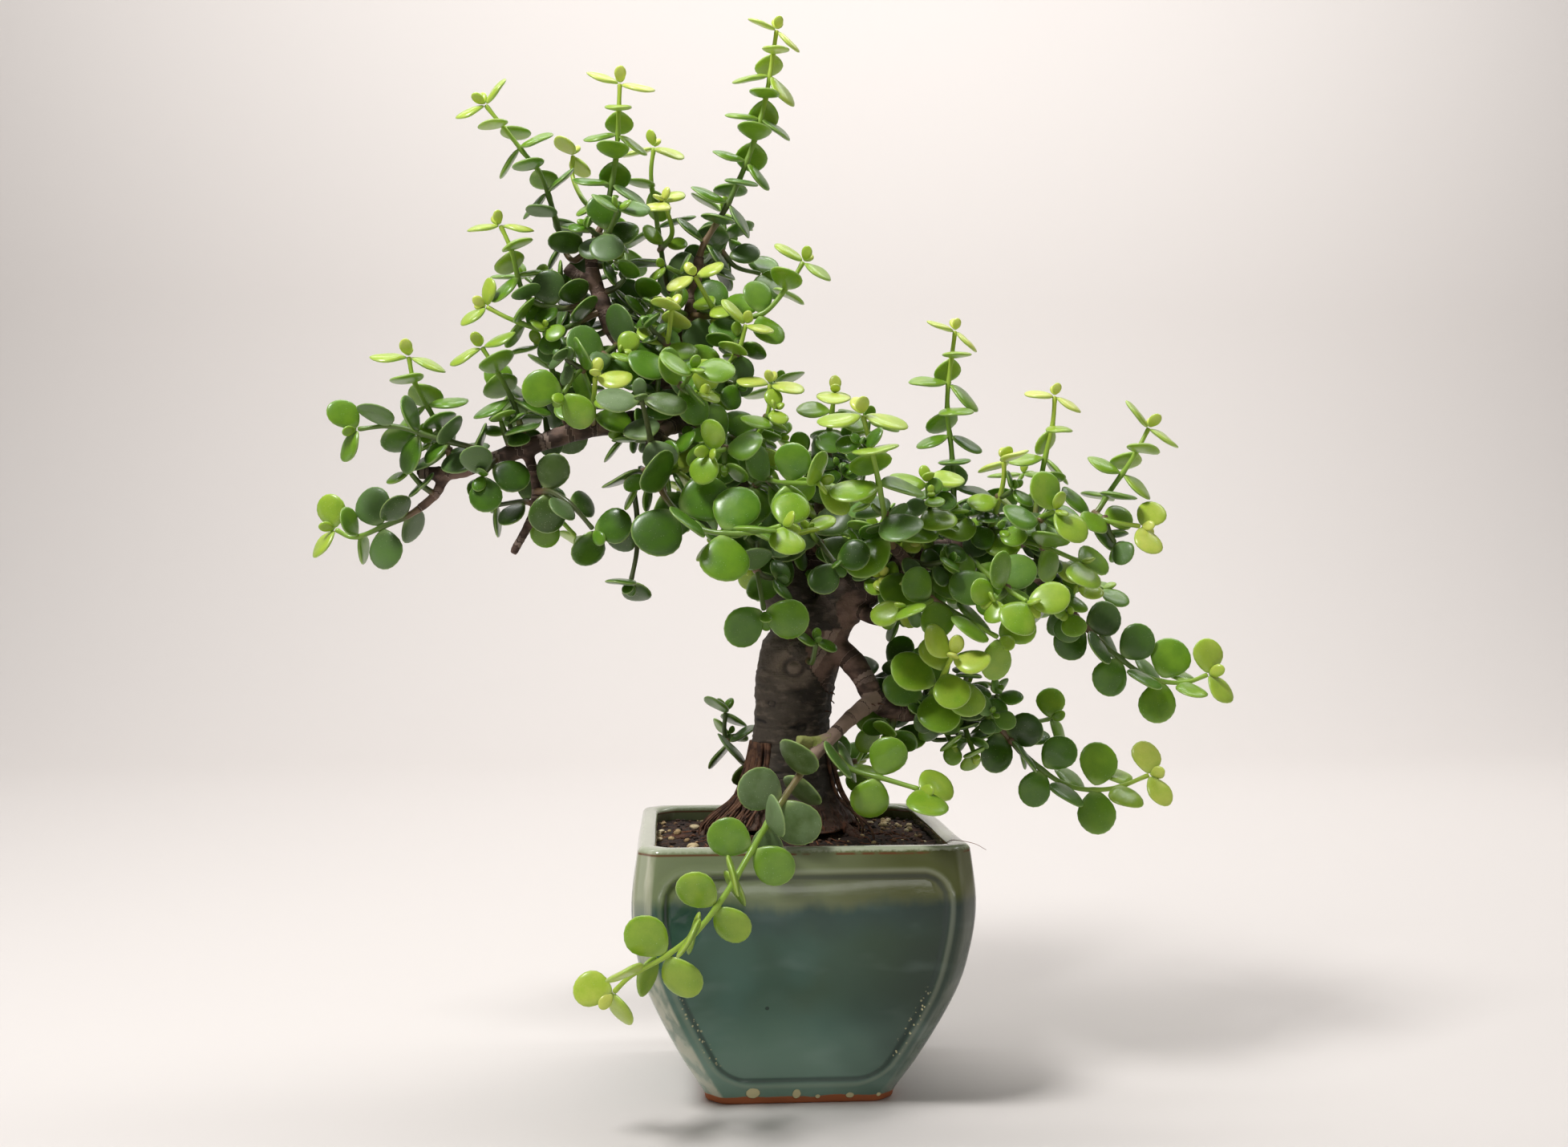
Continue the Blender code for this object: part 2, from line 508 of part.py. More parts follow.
def barkPoint(bark, spot, point):
    # Where a stem's end lies a touch gap off the bark, on the line from a limb's middle to a point.
    way = (point - spot).normalized()
    across = way.orthogonal().normalized()
    disc = [across * radius for radius in (0, STEM_RADIUS[0] / 2, STEM_RADIUS[0] + STEM_CLEARANCE)]
    disc = [Matrix.Rotation(math.pi / 6 * turn, 3, way) @ offset for offset in disc for turn in range(12)]
    start = bark.ray_cast(point + way * CUTTER_REACH, -way)[0] + way * 2 * STEM_RADIUS[0]
    for _ in range(SEATING_STEPS):
        gap = min(bark.find_nearest(start + offset)[3] for offset in disc)
        start -= way * (gap - TOUCH_GAP)
    return start


def routeShoots(wood):
    # Each shoot starts a touch gap off its limb's bark, or inside the shoot that it forks from.
    bark = BVHTree.FromBMesh(inMillimetres(wood))
    carriers = {"trunk": [Vector(p) for p in TRUNK]}
    for name, (points, _, _) in LIMBS.items():
        carriers[name] = smoothRoute(points, LIMB_STEP)
    shoots = {}
    for name, parent, leaf, pairs, points in SHOOTS:
        shoot = Shoot(name, parent, leaf, pairs, points)
        if parent in shoots:
            start = nearest(shoots[parent].route, shoot.points[0])
        else:
            start = barkPoint(bark, nearest(carriers[parent], shoot.points[0]), shoot.points[0])
        if (shoot.points[0] - start).length < FIRST_STEP:
            del shoot.points[0]
        shoot.points.insert(0, start)
        shoot.route = smoothRoute(shoot.points, STEM_STEP)
        shoots[name] = shoot
    return shoots


def leafMesh(length, width, thickness, root_inset):
    # A fleshy blade: a root in the stem, a rim and a keel under it.
    bm = bmesh.new()
    edge = LEAF_EDGE * thickness
    root = bm.verts.new((root_inset, 0, 0))
    left = [bm.verts.new((x * length, y * width, edge)) for x, y in LEAF_OUTLINE]
    right = [bm.verts.new((x * length, -y * width, edge)) for x, y in reversed(LEAF_OUTLINE)]
    keel = bm.verts.new((LEAF_KEEL * length, 0, edge - thickness))
    rim = [root] + left + right
    for a, b in zip(rim, rim[1:] + rim[:1]):
        bm.faces.new((b, keel, a))
    bm.faces.new(rim)
    bmesh.ops.recalc_face_normals(bm, faces=bm.faces[:])
    return bm


def along(route, distance):
    # The point at a distance along a route, with the heading and the side there.
    ways = frames(route)
    for index, (a, b) in enumerate(zip(route, route[1:])):
        span = (b - a).length
        if distance <= span:
            share = distance / span
            way = ways[index][0].lerp(ways[index + 1][0], share).normalized()
            side = ways[index][1].lerp(ways[index + 1][1], share)
            return a + (b - a) * share, way, (side - way * side.dot(way)).normalized()
        distance -= span
    return (route[-1], *ways[-1])


def leafSpots(shoot, draw):
    # Pairs up the stem, each turned a quarter from the one before, with the smallest at the tip.
    total = sum((b - a).length for a, b in zip(shoot.route, shoot.route[1:]))
    quarter = draw.choice((0, 1)) if shoot.pairs < 4 else 0
    for back in reversed(range(shoot.pairs)):
        place = total - TIP_INSET - back * (total - TIP_INSET - FIRST_PAIR) / max(1, shoot.pairs - 1)
        spot, way, side = along(shoot.route, place)
        size = shoot.leaf * TIP_SIZES.get(back, 1) * draw.uniform(*LEAF_SIZES)
        spreads = (back + quarter) % 2 == 0
        quarter_turn = -math.pi / 2 * (LEVEL_TURN + (1 - LEVEL_TURN) * abs(way.z))
        turn = (0 if spreads else quarter_turn) + draw.uniform(-PAIR_TURN, PAIR_TURN)
        rise = draw.uniform(*LEAF_RISE)
        if back == 0:
            rise += TIP_RISE
        for half in (0, 1):
            own_turn = turn + half * math.pi
            shade = 0.5 - 0.5 * squareOut(way, side, own_turn).dot(WINDOW_SIDE)
            droop = SHADE_DROOP * shade * max(0, way.z) ** 2
            own_rise = rise - droop + draw.uniform(-RISE_DIFFERENCE, RISE_DIFFERENCE)
            yield spot, way, side, own_turn, own_rise, size


def squareOut(way, side, turn):
    # The direction square to a stem, turned round it from its carried side.
    return side * math.cos(turn) + way.cross(side) * math.sin(turn)


def leafPlace(spot, way, side, turn, rise, facing):
    # The leaf's own axes: out along the blade, across it, and its upper side up the stem or to the light.
    around = squareOut(way, side, turn)
    out = (around * math.cos(rise) + way * math.sin(rise)).normalized()
    upper = way * (1 - facing) + LIGHT * facing
    upper = upper - out * upper.dot(out)
    if upper.length < PARALLEL:
        upper = way - out * way.dot(out)
    upper.normalize()
    turned = Matrix((out, upper.cross(out), upper)).transposed().to_4x4()
    return Matrix.Translation(spot) @ turned


class Crowd:
    # What already stands in the way, in millimetres, each with its box for a quick first test.
    def __init__(self):
        self.items = []

    def box(self, bm):
        corners = list(zip(*(vert.co for vert in bm.verts)))
        return [min(values) for values in corners], [max(values) for values in corners]

    def add(self, owner, bm):
        self.items.append((owner, self.box(bm), BVHTree.FromBMesh(bm)))

    def meets(self, bm, own):
        low, high = self.box(bm)
        tree = BVHTree.FromBMesh(bm)
        for owner, (other_low, other_high), other in self.items:
            apart = any(low[i] > other_high[i] or high[i] < other_low[i] for i in range(3))
            if owner != own and not apart and tree.overlap(other):
                return True
        return False


def inMillimetres(item):
    bm = bmesh.new()
    bm.from_mesh(item.data)
    bmesh.ops.scale(bm, verts=bm.verts[:], vec=(1 / MM, 1 / MM, 1 / MM))
    return bm


def stemRadii(route):
    return limbRadii(route, *STEM_RADIUS)


def placeLeaves(shoots, solids):
    # Leaves are placed shoot by shoot; one that would meet anything is turned, raised or made smaller.
    crowd = Crowd()
    for item in solids:
        crowd.add(item.name, inMillimetres(item))
    for shoot in shoots.values():
        bm = bmesh.new()
        tube(bm, [point / MM for point in shoot.route], [r / MM for r in stemRadii(shoot.route)], STEM_SIDES)
        crowd.add("stem " + shoot.name, bm)
    placed = {}
    for number, shoot in enumerate(shoots.values()):
        draw = random.Random(LEAF_SEED + number)
        placed[shoot.name] = []
        for spot, way, side, turn, rise, size in leafSpots(shoot, draw):
            facing = LIGHT_PULL[0] + LIGHT_PULL[1] * (1 - abs(way.z))
            width = size * draw.uniform(*LEAF_WIDTHS)
            for turned, raised, smaller in LEAF_TRIES:
                angle = turn + math.radians(turned)
                place = leafPlace(spot, way, side, angle, math.radians(rise + raised), facing)
                trial = leafMesh(size * smaller + LEAF_CLEARANCE, width * smaller + 2 * LEAF_CLEARANCE,
                                 LEAF_THICKNESS + 2 * LEAF_CLEARANCE, TEST_ROOT)
                bmesh.ops.transform(trial, matrix=place, verts=trial.verts[:])
                if not crowd.meets(trial, own="stem " + shoot.name):
                    placed[shoot.name].append((place, size * smaller, width * smaller))
                    crowd.add("leaf", trial)
                    break
    return placed


def makeShoots(shoots, placed, look):
    # A shoot, its forks and all their leaves are one solid.
    for name, shoot in shoots.items():
        if shoot.parent in shoots:
            continue
        family = [shoot] + [other for other in shoots.values() if other.parent == name]
        pieces = []
        for member in family:
            bm = bmesh.new()
            tube(bm, member.route, stemRadii(member.route), STEM_SIDES)
            pieces.append(addObject("stem", bm))
            for place, length, width in placed[member.name]:
                leaf = leafMesh(length, width, LEAF_THICKNESS, LEAF_ROOT)
                bmesh.ops.transform(leaf, matrix=Matrix.Scale(MM, 4) @ place, verts=leaf.verts[:])
                pieces.append(addObject("leaf", leaf))
        stem = pieces.pop(0)
        stem.name = "shoot_" + name
        stem.data.materials.append(look)
        combine(stem, pieces, "UNION")
        shadeRound(stem, 60)


def main():
    clearScene()
    pot = makePot(material("glazedPot", (0.09, 0.21, 0.21), 0.15))
    screen = makeScreen(material("screenPlastic", (0.02, 0.02, 0.02), 0.6))
    soil = makeSoil(material("pottingSoil", (0.045, 0.03, 0.02), 0.95))
    wood = makeWood(material("bark", (0.22, 0.17, 0.13), 0.85))
    shoots = routeShoots(wood)
    placed = placeLeaves(shoots, (pot, screen, soil, wood))
    makeShoots(shoots, placed, material("leafGreen", (0.13, 0.30, 0.05), 0.4))


main()
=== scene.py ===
import json
import math
import random

import bmesh
import bpy
from mathutils import Matrix, Vector, noise
from mathutils.bvhtree import BVHTree
from mathutils.kdtree import KDTree

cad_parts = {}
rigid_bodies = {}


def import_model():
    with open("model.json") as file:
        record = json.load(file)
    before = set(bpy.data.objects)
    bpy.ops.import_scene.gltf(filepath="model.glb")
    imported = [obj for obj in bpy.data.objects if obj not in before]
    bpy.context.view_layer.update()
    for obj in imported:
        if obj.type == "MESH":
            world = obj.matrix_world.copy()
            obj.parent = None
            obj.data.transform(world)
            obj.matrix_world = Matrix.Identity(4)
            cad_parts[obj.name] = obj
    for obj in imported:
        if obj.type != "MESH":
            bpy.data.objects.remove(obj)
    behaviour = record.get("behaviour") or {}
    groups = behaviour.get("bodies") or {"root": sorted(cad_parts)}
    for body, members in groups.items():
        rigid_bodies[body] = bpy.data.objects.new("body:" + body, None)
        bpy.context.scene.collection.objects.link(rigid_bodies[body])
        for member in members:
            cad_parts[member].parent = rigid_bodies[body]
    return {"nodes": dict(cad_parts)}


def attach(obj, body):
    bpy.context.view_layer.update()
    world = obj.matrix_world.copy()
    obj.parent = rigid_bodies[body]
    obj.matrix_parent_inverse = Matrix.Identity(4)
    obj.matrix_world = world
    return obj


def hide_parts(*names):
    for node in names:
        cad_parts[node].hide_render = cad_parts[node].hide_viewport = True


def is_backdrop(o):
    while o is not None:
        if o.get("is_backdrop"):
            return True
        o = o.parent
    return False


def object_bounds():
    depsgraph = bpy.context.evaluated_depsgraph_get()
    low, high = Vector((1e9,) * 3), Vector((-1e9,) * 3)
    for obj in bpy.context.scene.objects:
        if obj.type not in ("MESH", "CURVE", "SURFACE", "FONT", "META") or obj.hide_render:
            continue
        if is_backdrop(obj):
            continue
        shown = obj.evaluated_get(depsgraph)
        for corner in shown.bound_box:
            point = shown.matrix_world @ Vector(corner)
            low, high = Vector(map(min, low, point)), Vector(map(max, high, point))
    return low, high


# Looks of the potted mini jade plant. Lengths are in millimetres until a piece is added to the scene.
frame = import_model()
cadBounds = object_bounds()
cadNodes = frame["nodes"]
mm = 0.001
up = Vector((0, 0, 1))
print("frame loaded,", len(cadNodes), "nodes")


# Node trees

class Wire:
    # One output of a node. Maths on it adds Math nodes.
    def __init__(self, finish, output):
        self.finish = finish
        self.output = output

    def maths(self, operation, other, turned=False):
        values = (other, self) if turned else (self, other)
        return self.finish.node("ShaderNodeMath", {"operation": operation}, dict(enumerate(values)))

    def __add__(self, other):
        return self.maths("ADD", other)

    def __radd__(self, other):
        return self.maths("ADD", other, True)

    def __sub__(self, other):
        return self.maths("SUBTRACT", other)

    def __rsub__(self, other):
        return self.maths("SUBTRACT", other, True)

    def __mul__(self, other):
        return self.maths("MULTIPLY", other)

    def __truediv__(self, other):
        return self.maths("DIVIDE", other)

    def __pow__(self, other):
        return self.maths("POWER", other)


def paint(red, green, blue):
    # A colour as a screen shows it, 0 to 255, for a shader.
    shares = [value / 255 for value in (red, green, blue)]
    return (*(share ** 2.2 for share in shares), 1)


class Finish:
    # A material, its Principled shader and short ways to the nodes that it uses.
    def __init__(self, name, **settings):
        self.material = bpy.data.materials.new(name)
        self.material.use_nodes = True
        self.tree = self.material.node_tree
        self.shader = self.tree.nodes["Principled BSDF"]
        for socket, value in settings.items():
            self.shader.inputs[socket.replace("_", " ")].default_value = value
        place = self.node("ShaderNodeTexCoord", out="Object")
        self.spot = self.node("ShaderNodeVectorMath", {"operation": "SCALE"}, {0: place, "Scale": 1 / mm})

    def node(self, kind, settings=None, inputs=None, out=0):
        made = self.tree.nodes.new(kind)
        for name, value in (settings or {}).items():
            if name == "stops":
                self.setStops(made.color_ramp, value)
            else:
                setattr(made, name, value)
        for socket, value in (inputs or {}).items():
            self.feed(made.inputs[socket], value)
        return Wire(self, made.outputs[out])

    def setStops(self, ramp, stops):
        while len(ramp.elements) < len(stops):
            ramp.elements.new(0.5)
        for element, (place, colour) in zip(ramp.elements, stops):
            element.position = place
            element.color = colour

    def feed(self, socket, value):
        if isinstance(value, Wire):
            self.tree.links.new(value.output, socket)
        else:
            socket.default_value = value

    def into(self, name, value):
        self.feed(self.shader.inputs[name], value)

    def blend(self, share, first, second):
        return self.node("ShaderNodeMix", {"data_type": "RGBA"}, {0: share, 6: first, 7: second}, out=2)

    def ramp(self, value, stops):
        return self.node("ShaderNodeValToRGB", {"stops": stops}, {0: value})

    def between(self, value, low, high):
        # 0 below low, 1 above high, and eased from one to the other.
        settings = {"interpolation_type": "SMOOTHSTEP"}
        return self.node("ShaderNodeMapRange", settings, {0: value, 1: low, 2: high})

    def band(self, value, rise, fall):
        # 1 between two eased edges, each given by its low and high end, and 0 outside them.
        return self.between(value, *rise) * (1 - self.between(value, *fall))

    def cloud(self, size, detail=3, stretch=(1, 1, 1)):
        # Noise whose lumps are about the given size in millimetres.
        scaled = self.node("ShaderNodeVectorMath", {"operation": "MULTIPLY"},
                           {0: self.spot, 1: tuple(1 / (size * share) for share in stretch)})
        return self.node("ShaderNodeTexNoise", {}, {"Vector": scaled, "Scale": 1, "Detail": detail})

    def specks(self, size, radius):
        # Small round dots, one in each cell of the given size.
        inputs = {"Vector": self.spot, "Scale": 1 / size, "Randomness": 1}
        cells = self.node("ShaderNodeTexVoronoi", {}, inputs)
        return 1 - self.between(cells, radius / size * 0.6, radius / size)

    def axis(self, name):
        return self.node("ShaderNodeSeparateXYZ", {}, {0: self.spot}, out=name)

    def attribute(self, name):
        return self.node("ShaderNodeAttribute", {"attribute_name": name}, out="Fac")

    def relief(self, height, depth):
        # Bump of the given depth in millimetres.
        inputs = {"Height": height, "Strength": 1, "Distance": depth * mm}
        self.into("Normal", self.node("ShaderNodeBump", {}, inputs))


# Making pieces

def resize(bm, factor):
    bmesh.ops.scale(bm, vec=(factor,) * 3, verts=bm.verts[:])


def meshOf(bm, name):
    mesh = bpy.data.meshes.new(name)
    bm.to_mesh(mesh)
    bm.free()
    return mesh


def addObject(name, data):
    made = bpy.data.objects.new(name, data)
    bpy.context.scene.collection.objects.link(made)
    return made


def addSmooth(name, bm, finish):
    # Puts a mesh modelled in millimetres into the scene, smooth and with its finish.
    bmesh.ops.recalc_face_normals(bm, faces=bm.faces[:])
    resize(bm, mm)
    mesh = meshOf(bm, name)
    mesh.shade_smooth()
    mesh.materials.append(finish.material)
    return addObject(name, mesh)


def addPiece(name, bm, finish, replaced=(), subdivided=0):
    # Adds a piece of the plant, which may take the place of CAD nodes.
    piece = addSmooth(name, bm, finish)
    if subdivided:
        rounding = piece.modifiers.new("rounding", "SUBSURF")
        rounding.levels = subdivided
        rounding.render_levels = subdivided
    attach(piece, "root")
    if replaced:
        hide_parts(*replaced)
    return piece


def pour(bm, part):
    # Adds a small mesh to a larger one, with its attributes, and lets the small one go.
    carrier = meshOf(part, "carrier")
    bm.from_mesh(carrier)
    bpy.data.meshes.remove(carrier)


def inMillimetres(node):
    bm = bmesh.new()
    bm.from_mesh(cadNodes[node].data)
    resize(bm, 1 / mm)
    bmesh.ops.remove_doubles(bm, verts=bm.verts[:], dist=0.001)
    return bm


def applied(piece):
    # Bakes a piece's modifiers into its mesh.
    graph = bpy.context.evaluated_depsgraph_get()
    graph.update()
    made = bpy.data.meshes.new_from_object(piece.evaluated_get(graph))
    piece.modifiers.clear()
    piece.data = made


def only(kind, items):
    return [item for item in items if isinstance(item, kind)]


def easeIn(value, low, high):
    share = max(0, min(1, (value - low) / (high - low)))
    return share * share * (3 - 2 * share)


def wayOut(angle):
    return Vector((math.cos(angle), math.sin(angle), 0))


def smoothRoute(points, step):
    # Points about one step apart on a smooth curve through the given ones.
    points = [Vector(point) for point in points]
    ends = [points[0] * 2 - points[1]] + points + [points[-1] * 2 - points[-2]]
    route = [points[0]]
    for before, start, stop, after in zip(ends, ends[1:], ends[2:], ends[3:]):
        pieces = max(1, round((stop - start).length / step))
        for index in range(1, pieces + 1):
            t = index / pieces
            bend = (2 * before - 5 * start + 4 * stop - after) * t * t
            twist = (3 * start - 3 * stop + after - before) * t * t * t
            route.append((2 * start + (stop - before) * t + bend + twist) / 2)
    return route


def carriedFrames(route):
    # A heading and a side for each point, with the side carried along without twist.
    ahead = [(b - a).normalized() for a, b in zip(route, route[1:])]
    ways = [ahead[0]] + [(a + b).normalized() for a, b in zip(ahead, ahead[1:])] + [ahead[-1]]
    side = ways[0].cross(Vector((0, -1, 0)))
    if side.length < 0.2:
        side = ways[0].cross(up)
    sides = []
    for way in ways:
        side = (side - way * side.dot(way)).normalized()
        sides.append(side.copy())
    return list(zip(ways, sides))


def routeLengths(route):
    lengths = [0]
    for a, b in zip(route, route[1:]):
        lengths.append(lengths[-1] + (b - a).length)
    return lengths


def tube(bm, route, radii, sides, swell=None):
    # Rings along a route, bridged one to the next, with closed ends. Returns the rings.
    rings = []
    halfSide = Matrix.Rotation(math.pi / sides, 4, "Z")
    for number, (point, radius, (way, side)) in enumerate(zip(route, radii, carriedFrames(route))):
        turn = Matrix((side, way.cross(side), way)).transposed().to_4x4() @ halfSide
        ring = bmesh.ops.create_circle(bm, segments=sides, radius=radius,
                                       matrix=Matrix.Translation(point) @ turn)["verts"]
        if swell:
            for index, vert in enumerate(ring):
                vert.co = point + (vert.co - point) * swell(number, index / sides * math.tau)
        rings.append(ring)
    edges = [list(dict.fromkeys(edge for vert in ring for edge in vert.link_edges)) for ring in rings]
    for lower, upper in zip(edges, edges[1:]):
        bmesh.ops.bridge_loops(bm, edges=lower + upper)
    for ring in (rings[0], rings[-1]):
        bm.faces.new(ring)
    return rings


def tapered(lengths, start, stop, taper=0.75):
    return [start + (stop - start) * (length / lengths[-1]) ** taper for length in lengths]


def strand(bm, points, step, start, stop, sides=5):
    # A tapered tube along a smooth curve through the points.
    route = smoothRoute(points, step)
    tube(bm, route, tapered(routeLengths(route), start, stop), sides)


# Camera and light

view = {
    "imageSize": (1955, 1430),
    "eye": (-43.1, -557.1, 170.8),
    "towards": (0.0709, 0.9975, 0.017),
    "focalPixels": 1924.3,
    "sensor": 36,
}


def makeCamera():
    camera = addObject("camera", bpy.data.cameras.new("camera"))
    camera.data.sensor_width = view["sensor"]
    camera.data.lens = view["focalPixels"] * view["sensor"] / view["imageSize"][0]
    camera.location = Vector(view["eye"]) * mm
    camera.rotation_euler = Vector(view["towards"]).to_track_quat("-Z", "Y").to_euler()
    bpy.context.scene.camera = camera


studio = {
    "paper": paint(214, 208, 204),
    # The wall stands far enough back for a look at the plant from behind
    "paperDepth": 1650,
    "paperWidth": 4400,
    "paperHeight": 1500,
    "paperCurve": 600,
    "curveSteps": 24,
    "sky": paint(250, 247, 244),
    "daylight": 0.17,
    "lamps": {
        # name: place, what it points at, size and watts
        "key": ((-400, -380, 960), (20, 0, 190), (250, 230), 8.8),
        "bar": ((60, -700, 66), (0, 0, 80), (520, 22), 0.15),
        "card": ((-760, -70, 60), (0, -50, 60), (260, 420), 0.35),
        "fill": ((900, -520, 420), (0, 0, 200), (700, 700), 0.35),
        "top": ((420, 190, 1300), (400, 620, 420), (1500, 260), 8.2),
        "wall": ((120, 820, 1500), (140, 1650, 60), (2400, 300), 20),
    },
}


def makeStudio():
    # A floor whose back edge is spun up into a wall, the lamps and some daylight.
    bm = bmesh.new()
    half = studio["paperWidth"] / 2
    curve = studio["paperCurve"]
    floorEnd = studio["paperDepth"] - curve
    made = bmesh.ops.create_grid(bm, x_segments=1, y_segments=1, size=half)
    bmesh.ops.translate(bm, verts=made["verts"], vec=(0, floorEnd - half, 0))
    back = max(bm.edges, key=lambda edge: edge.verts[0].co.y + edge.verts[1].co.y)
    turned = bmesh.ops.spin(bm, geom=[back], cent=(0, floorEnd, curve), axis=(1, 0, 0), angle=math.pi / 2,
                            steps=studio["curveSteps"])["geom_last"]
    wall = bmesh.ops.extrude_edge_only(bm, edges=only(bmesh.types.BMEdge, turned))["geom"]
    bmesh.ops.translate(bm, verts=only(bmesh.types.BMVert, wall), vec=(0, 0, studio["paperHeight"]))
    addSmooth("paper", bm, Finish("paper", Base_Color=studio["paper"], Roughness=0.9))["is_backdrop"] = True
    for name, (place, target, size, watts) in studio["lamps"].items():
        lamp = addObject(name, bpy.data.lights.new(name, "AREA"))
        lamp.data.shape = "RECTANGLE"
        lamp.data.size = size[0] * mm
        lamp.data.size_y = size[1] * mm
        lamp.data.energy = watts
        lamp.location = Vector(place) * mm
        lamp.rotation_euler = (Vector(target) - Vector(place)).to_track_quat("-Z", "Y").to_euler()
    scene = bpy.context.scene
    scene.world = bpy.data.worlds.new("room")
    scene.world.use_nodes = True
    sky = scene.world.node_tree.nodes["Background"]
    sky.inputs["Color"].default_value = studio["sky"]
    sky.inputs["Strength"].default_value = studio["daylight"]
    scene.view_settings.view_transform = "Standard"


makeCamera()
makeStudio()
print("camera and light made")


# Pot

potForm = {
    # Height and half width of the outer wall, from the foot up to the rim
    "profile": [(0, 32.2), (3.5, 33.2), (17, 40.5), (40, 51), (55, 55), (70, 56.6), (86, 55.3), (90, 54.5)],
    "wall": 5.5,
    "floor": 6.0,
    "cornerCut": 5.5,
    "cornerRound": 2.2,
    "rimRound": 2.2,
    "rimSteps": 6,
    "footRound": 0.8,
    "panelBottom": 8.0,
    "panelTop": 81.5,
    "panelSide": 10.0,
    "panelRound": 8.0,
    "panelSlope": 1.5,
    "panelDepth": 1.1,
    # Height, place outside the panel and width of the raised lip round it
    "panelLip": (0.35, 1.4, 1.2),
    "fineStep": 0.8,
    "coarseStep": 3.2,
    # How many fine steps each end of a side has, and coarse ones between
    "fineSteps": 12,
    "middleSteps": 14,
    "insideStep": 8,
    # The slight unevenness of the walls, and how close its waves lie
    "wobble": 0.35,
    "wobblePitch": 0.03,
    # What the panel's attribute says where there is no panel
    "farOutside": -9,
    "holeRadius": 4.5,
    "holeX": 14.0,
    # Points of a quarter of the plan that lie on its cut corner
    "cornerPoints": (2, 7),
}


def makePotWidths():
    curve = smoothRoute([(half, 0, height) for height, half in potForm["profile"]], 1)
    return [(point.z, point.x) for point in curve]


potWidths = makePotWidths()


def potHalf(height):
    height = max(potWidths[0][0], min(potWidths[-1][0], height))
    for (low, halfLow), (high, halfHigh) in zip(potWidths, potWidths[1:]):
        if height <= high:
            return halfLow + (halfHigh - halfLow) * (height - low) / (high - low)


def cornerPath(half, cut, softness):
    # From the end of the +X side, over the cut corner, to the start of the +Y side.
    first, second = Vector((half, half - cut)), Vector((half - cut, half))
    slant = (second - first).normalized()
    path = []
    for corner, before, after in ((first, Vector((0, 1)), slant), (second, slant, Vector((-1, 0)))):
        for step in range(5):
            t = step / 4
            start, stop = corner - before * softness, corner + after * softness
            path.append(start * (1 - t) ** 2 + corner * 2 * t * (1 - t) + stop * t * t)
    return path


def sidePath(start, stop):
    # Fine steps near both ends, where the panel's edge runs, and coarse ones between.
    length = (stop - start).length
    middle = potForm["middleSteps"]
    fine = [potForm["fineStep"] * number for number in range(1, potForm["fineSteps"] + 1)]
    places = fine + [fine[-1] + (length - 2 * fine[-1]) * number / middle for number in range(1, middle)]
    places += [length - place for place in reversed(fine)]
    return [start + (stop - start) * place / length for place in places]


def potOutline(half):
    # The pot's plan at one height, corner and side in turn.
    quarter = cornerPath(half, potForm["cornerCut"], potForm["cornerRound"])
    nextCorner = Vector((-quarter[0].y, quarter[0].x))
    quarter = quarter + sidePath(quarter[-1], nextCorner)
    outline = []
    for turn in range(4):
        spin = Matrix.Rotation(turn * math.pi / 2, 2)
        outline += [spin @ point for point in quarter]
    return outline


def potLevels():
    # Height, half width and whether the panel can press it in, up the outside, over the rim and down inside.
    form = potForm
    foot, rim, top = form["footRound"], form["rimRound"], form["profile"][-1][0]
    levels = [(0, potHalf(0) - foot, False), (0.25 * foot, potHalf(0) - 0.3 * foot, False)]
    levels.append((foot, potHalf(foot), True))
    height = foot + form["fineStep"]
    while height < top - rim:
        levels.append((height, potHalf(height), True))
        inMiddle = form["panelBottom"] + 6 < height < form["panelTop"] - 6
        height += form["coarseStep"] if inMiddle else form["fineStep"]
    angles = [math.pi / 2 * step / form["rimSteps"] for step in range(form["rimSteps"] + 1)]
    outer = potHalf(top - rim) - rim
    inner = potHalf(top) - form["wall"] + rim
    levels += [(top - rim + rim * math.sin(angle), outer + rim * math.cos(angle), False) for angle in angles]
    levels += [(top - rim + rim * math.cos(angle), inner - rim * math.sin(angle), False) for angle in angles]
    height = top - rim - form["insideStep"] / 2
    while height > form["floor"] + form["insideStep"] / 2:
        levels.append((height, potHalf(height) - form["wall"], False))
        height -= form["insideStep"]
    levels.append((form["floor"], potHalf(form["floor"]) - form["wall"], False))
    return levels


def panelInset(across, half, height):
    # How far a place on the wall lies inside the panel's rounded outline.
    form = potForm
    side = half - form["panelSide"] - abs(across)
    end = min(height - form["panelBottom"], form["panelTop"] - height)
    inside = min(side, end)
    if side < form["panelRound"] and end < form["panelRound"]:
        inside = form["panelRound"] - math.hypot(form["panelRound"] - side, form["panelRound"] - end)
    return inside


def pressedIn(place, half, height, spot):
    # Moves a point of the wall in where the panel is pressed, and returns how far inside the panel it lies.
    form = potForm
    alongX = abs(place.x) > abs(place.y)
    inside = panelInset(place.y if alongX else place.x, half, height)
    lip, lipPlace, lipWidth = form["panelLip"]
    sunk = form["panelDepth"] * easeIn(inside, 0, form["panelSlope"])
    sunk -= lip * math.exp(-((inside + lipPlace) / lipWidth) ** 2)
    spot -= Vector((place.x, 0, 0) if alongX else (0, place.y, 0)).normalized() * sunk
    return inside


def raiseRing(bm, ring):
    # Extrudes a ring of edges and returns the new ring's points in the same order.
    old = set(ring)
    edges = [bm.edges.get(pair) for pair in zip(ring, ring[1:] + ring[:1])]
    partner = {}
    for vert in only(bmesh.types.BMVert, bmesh.ops.extrude_edge_only(bm, edges=edges)["geom"]):
        for edge in vert.link_edges:
            if edge.other_vert(vert) in old:
                partner[edge.other_vert(vert)] = vert
    return [partner[vert] for vert in ring]


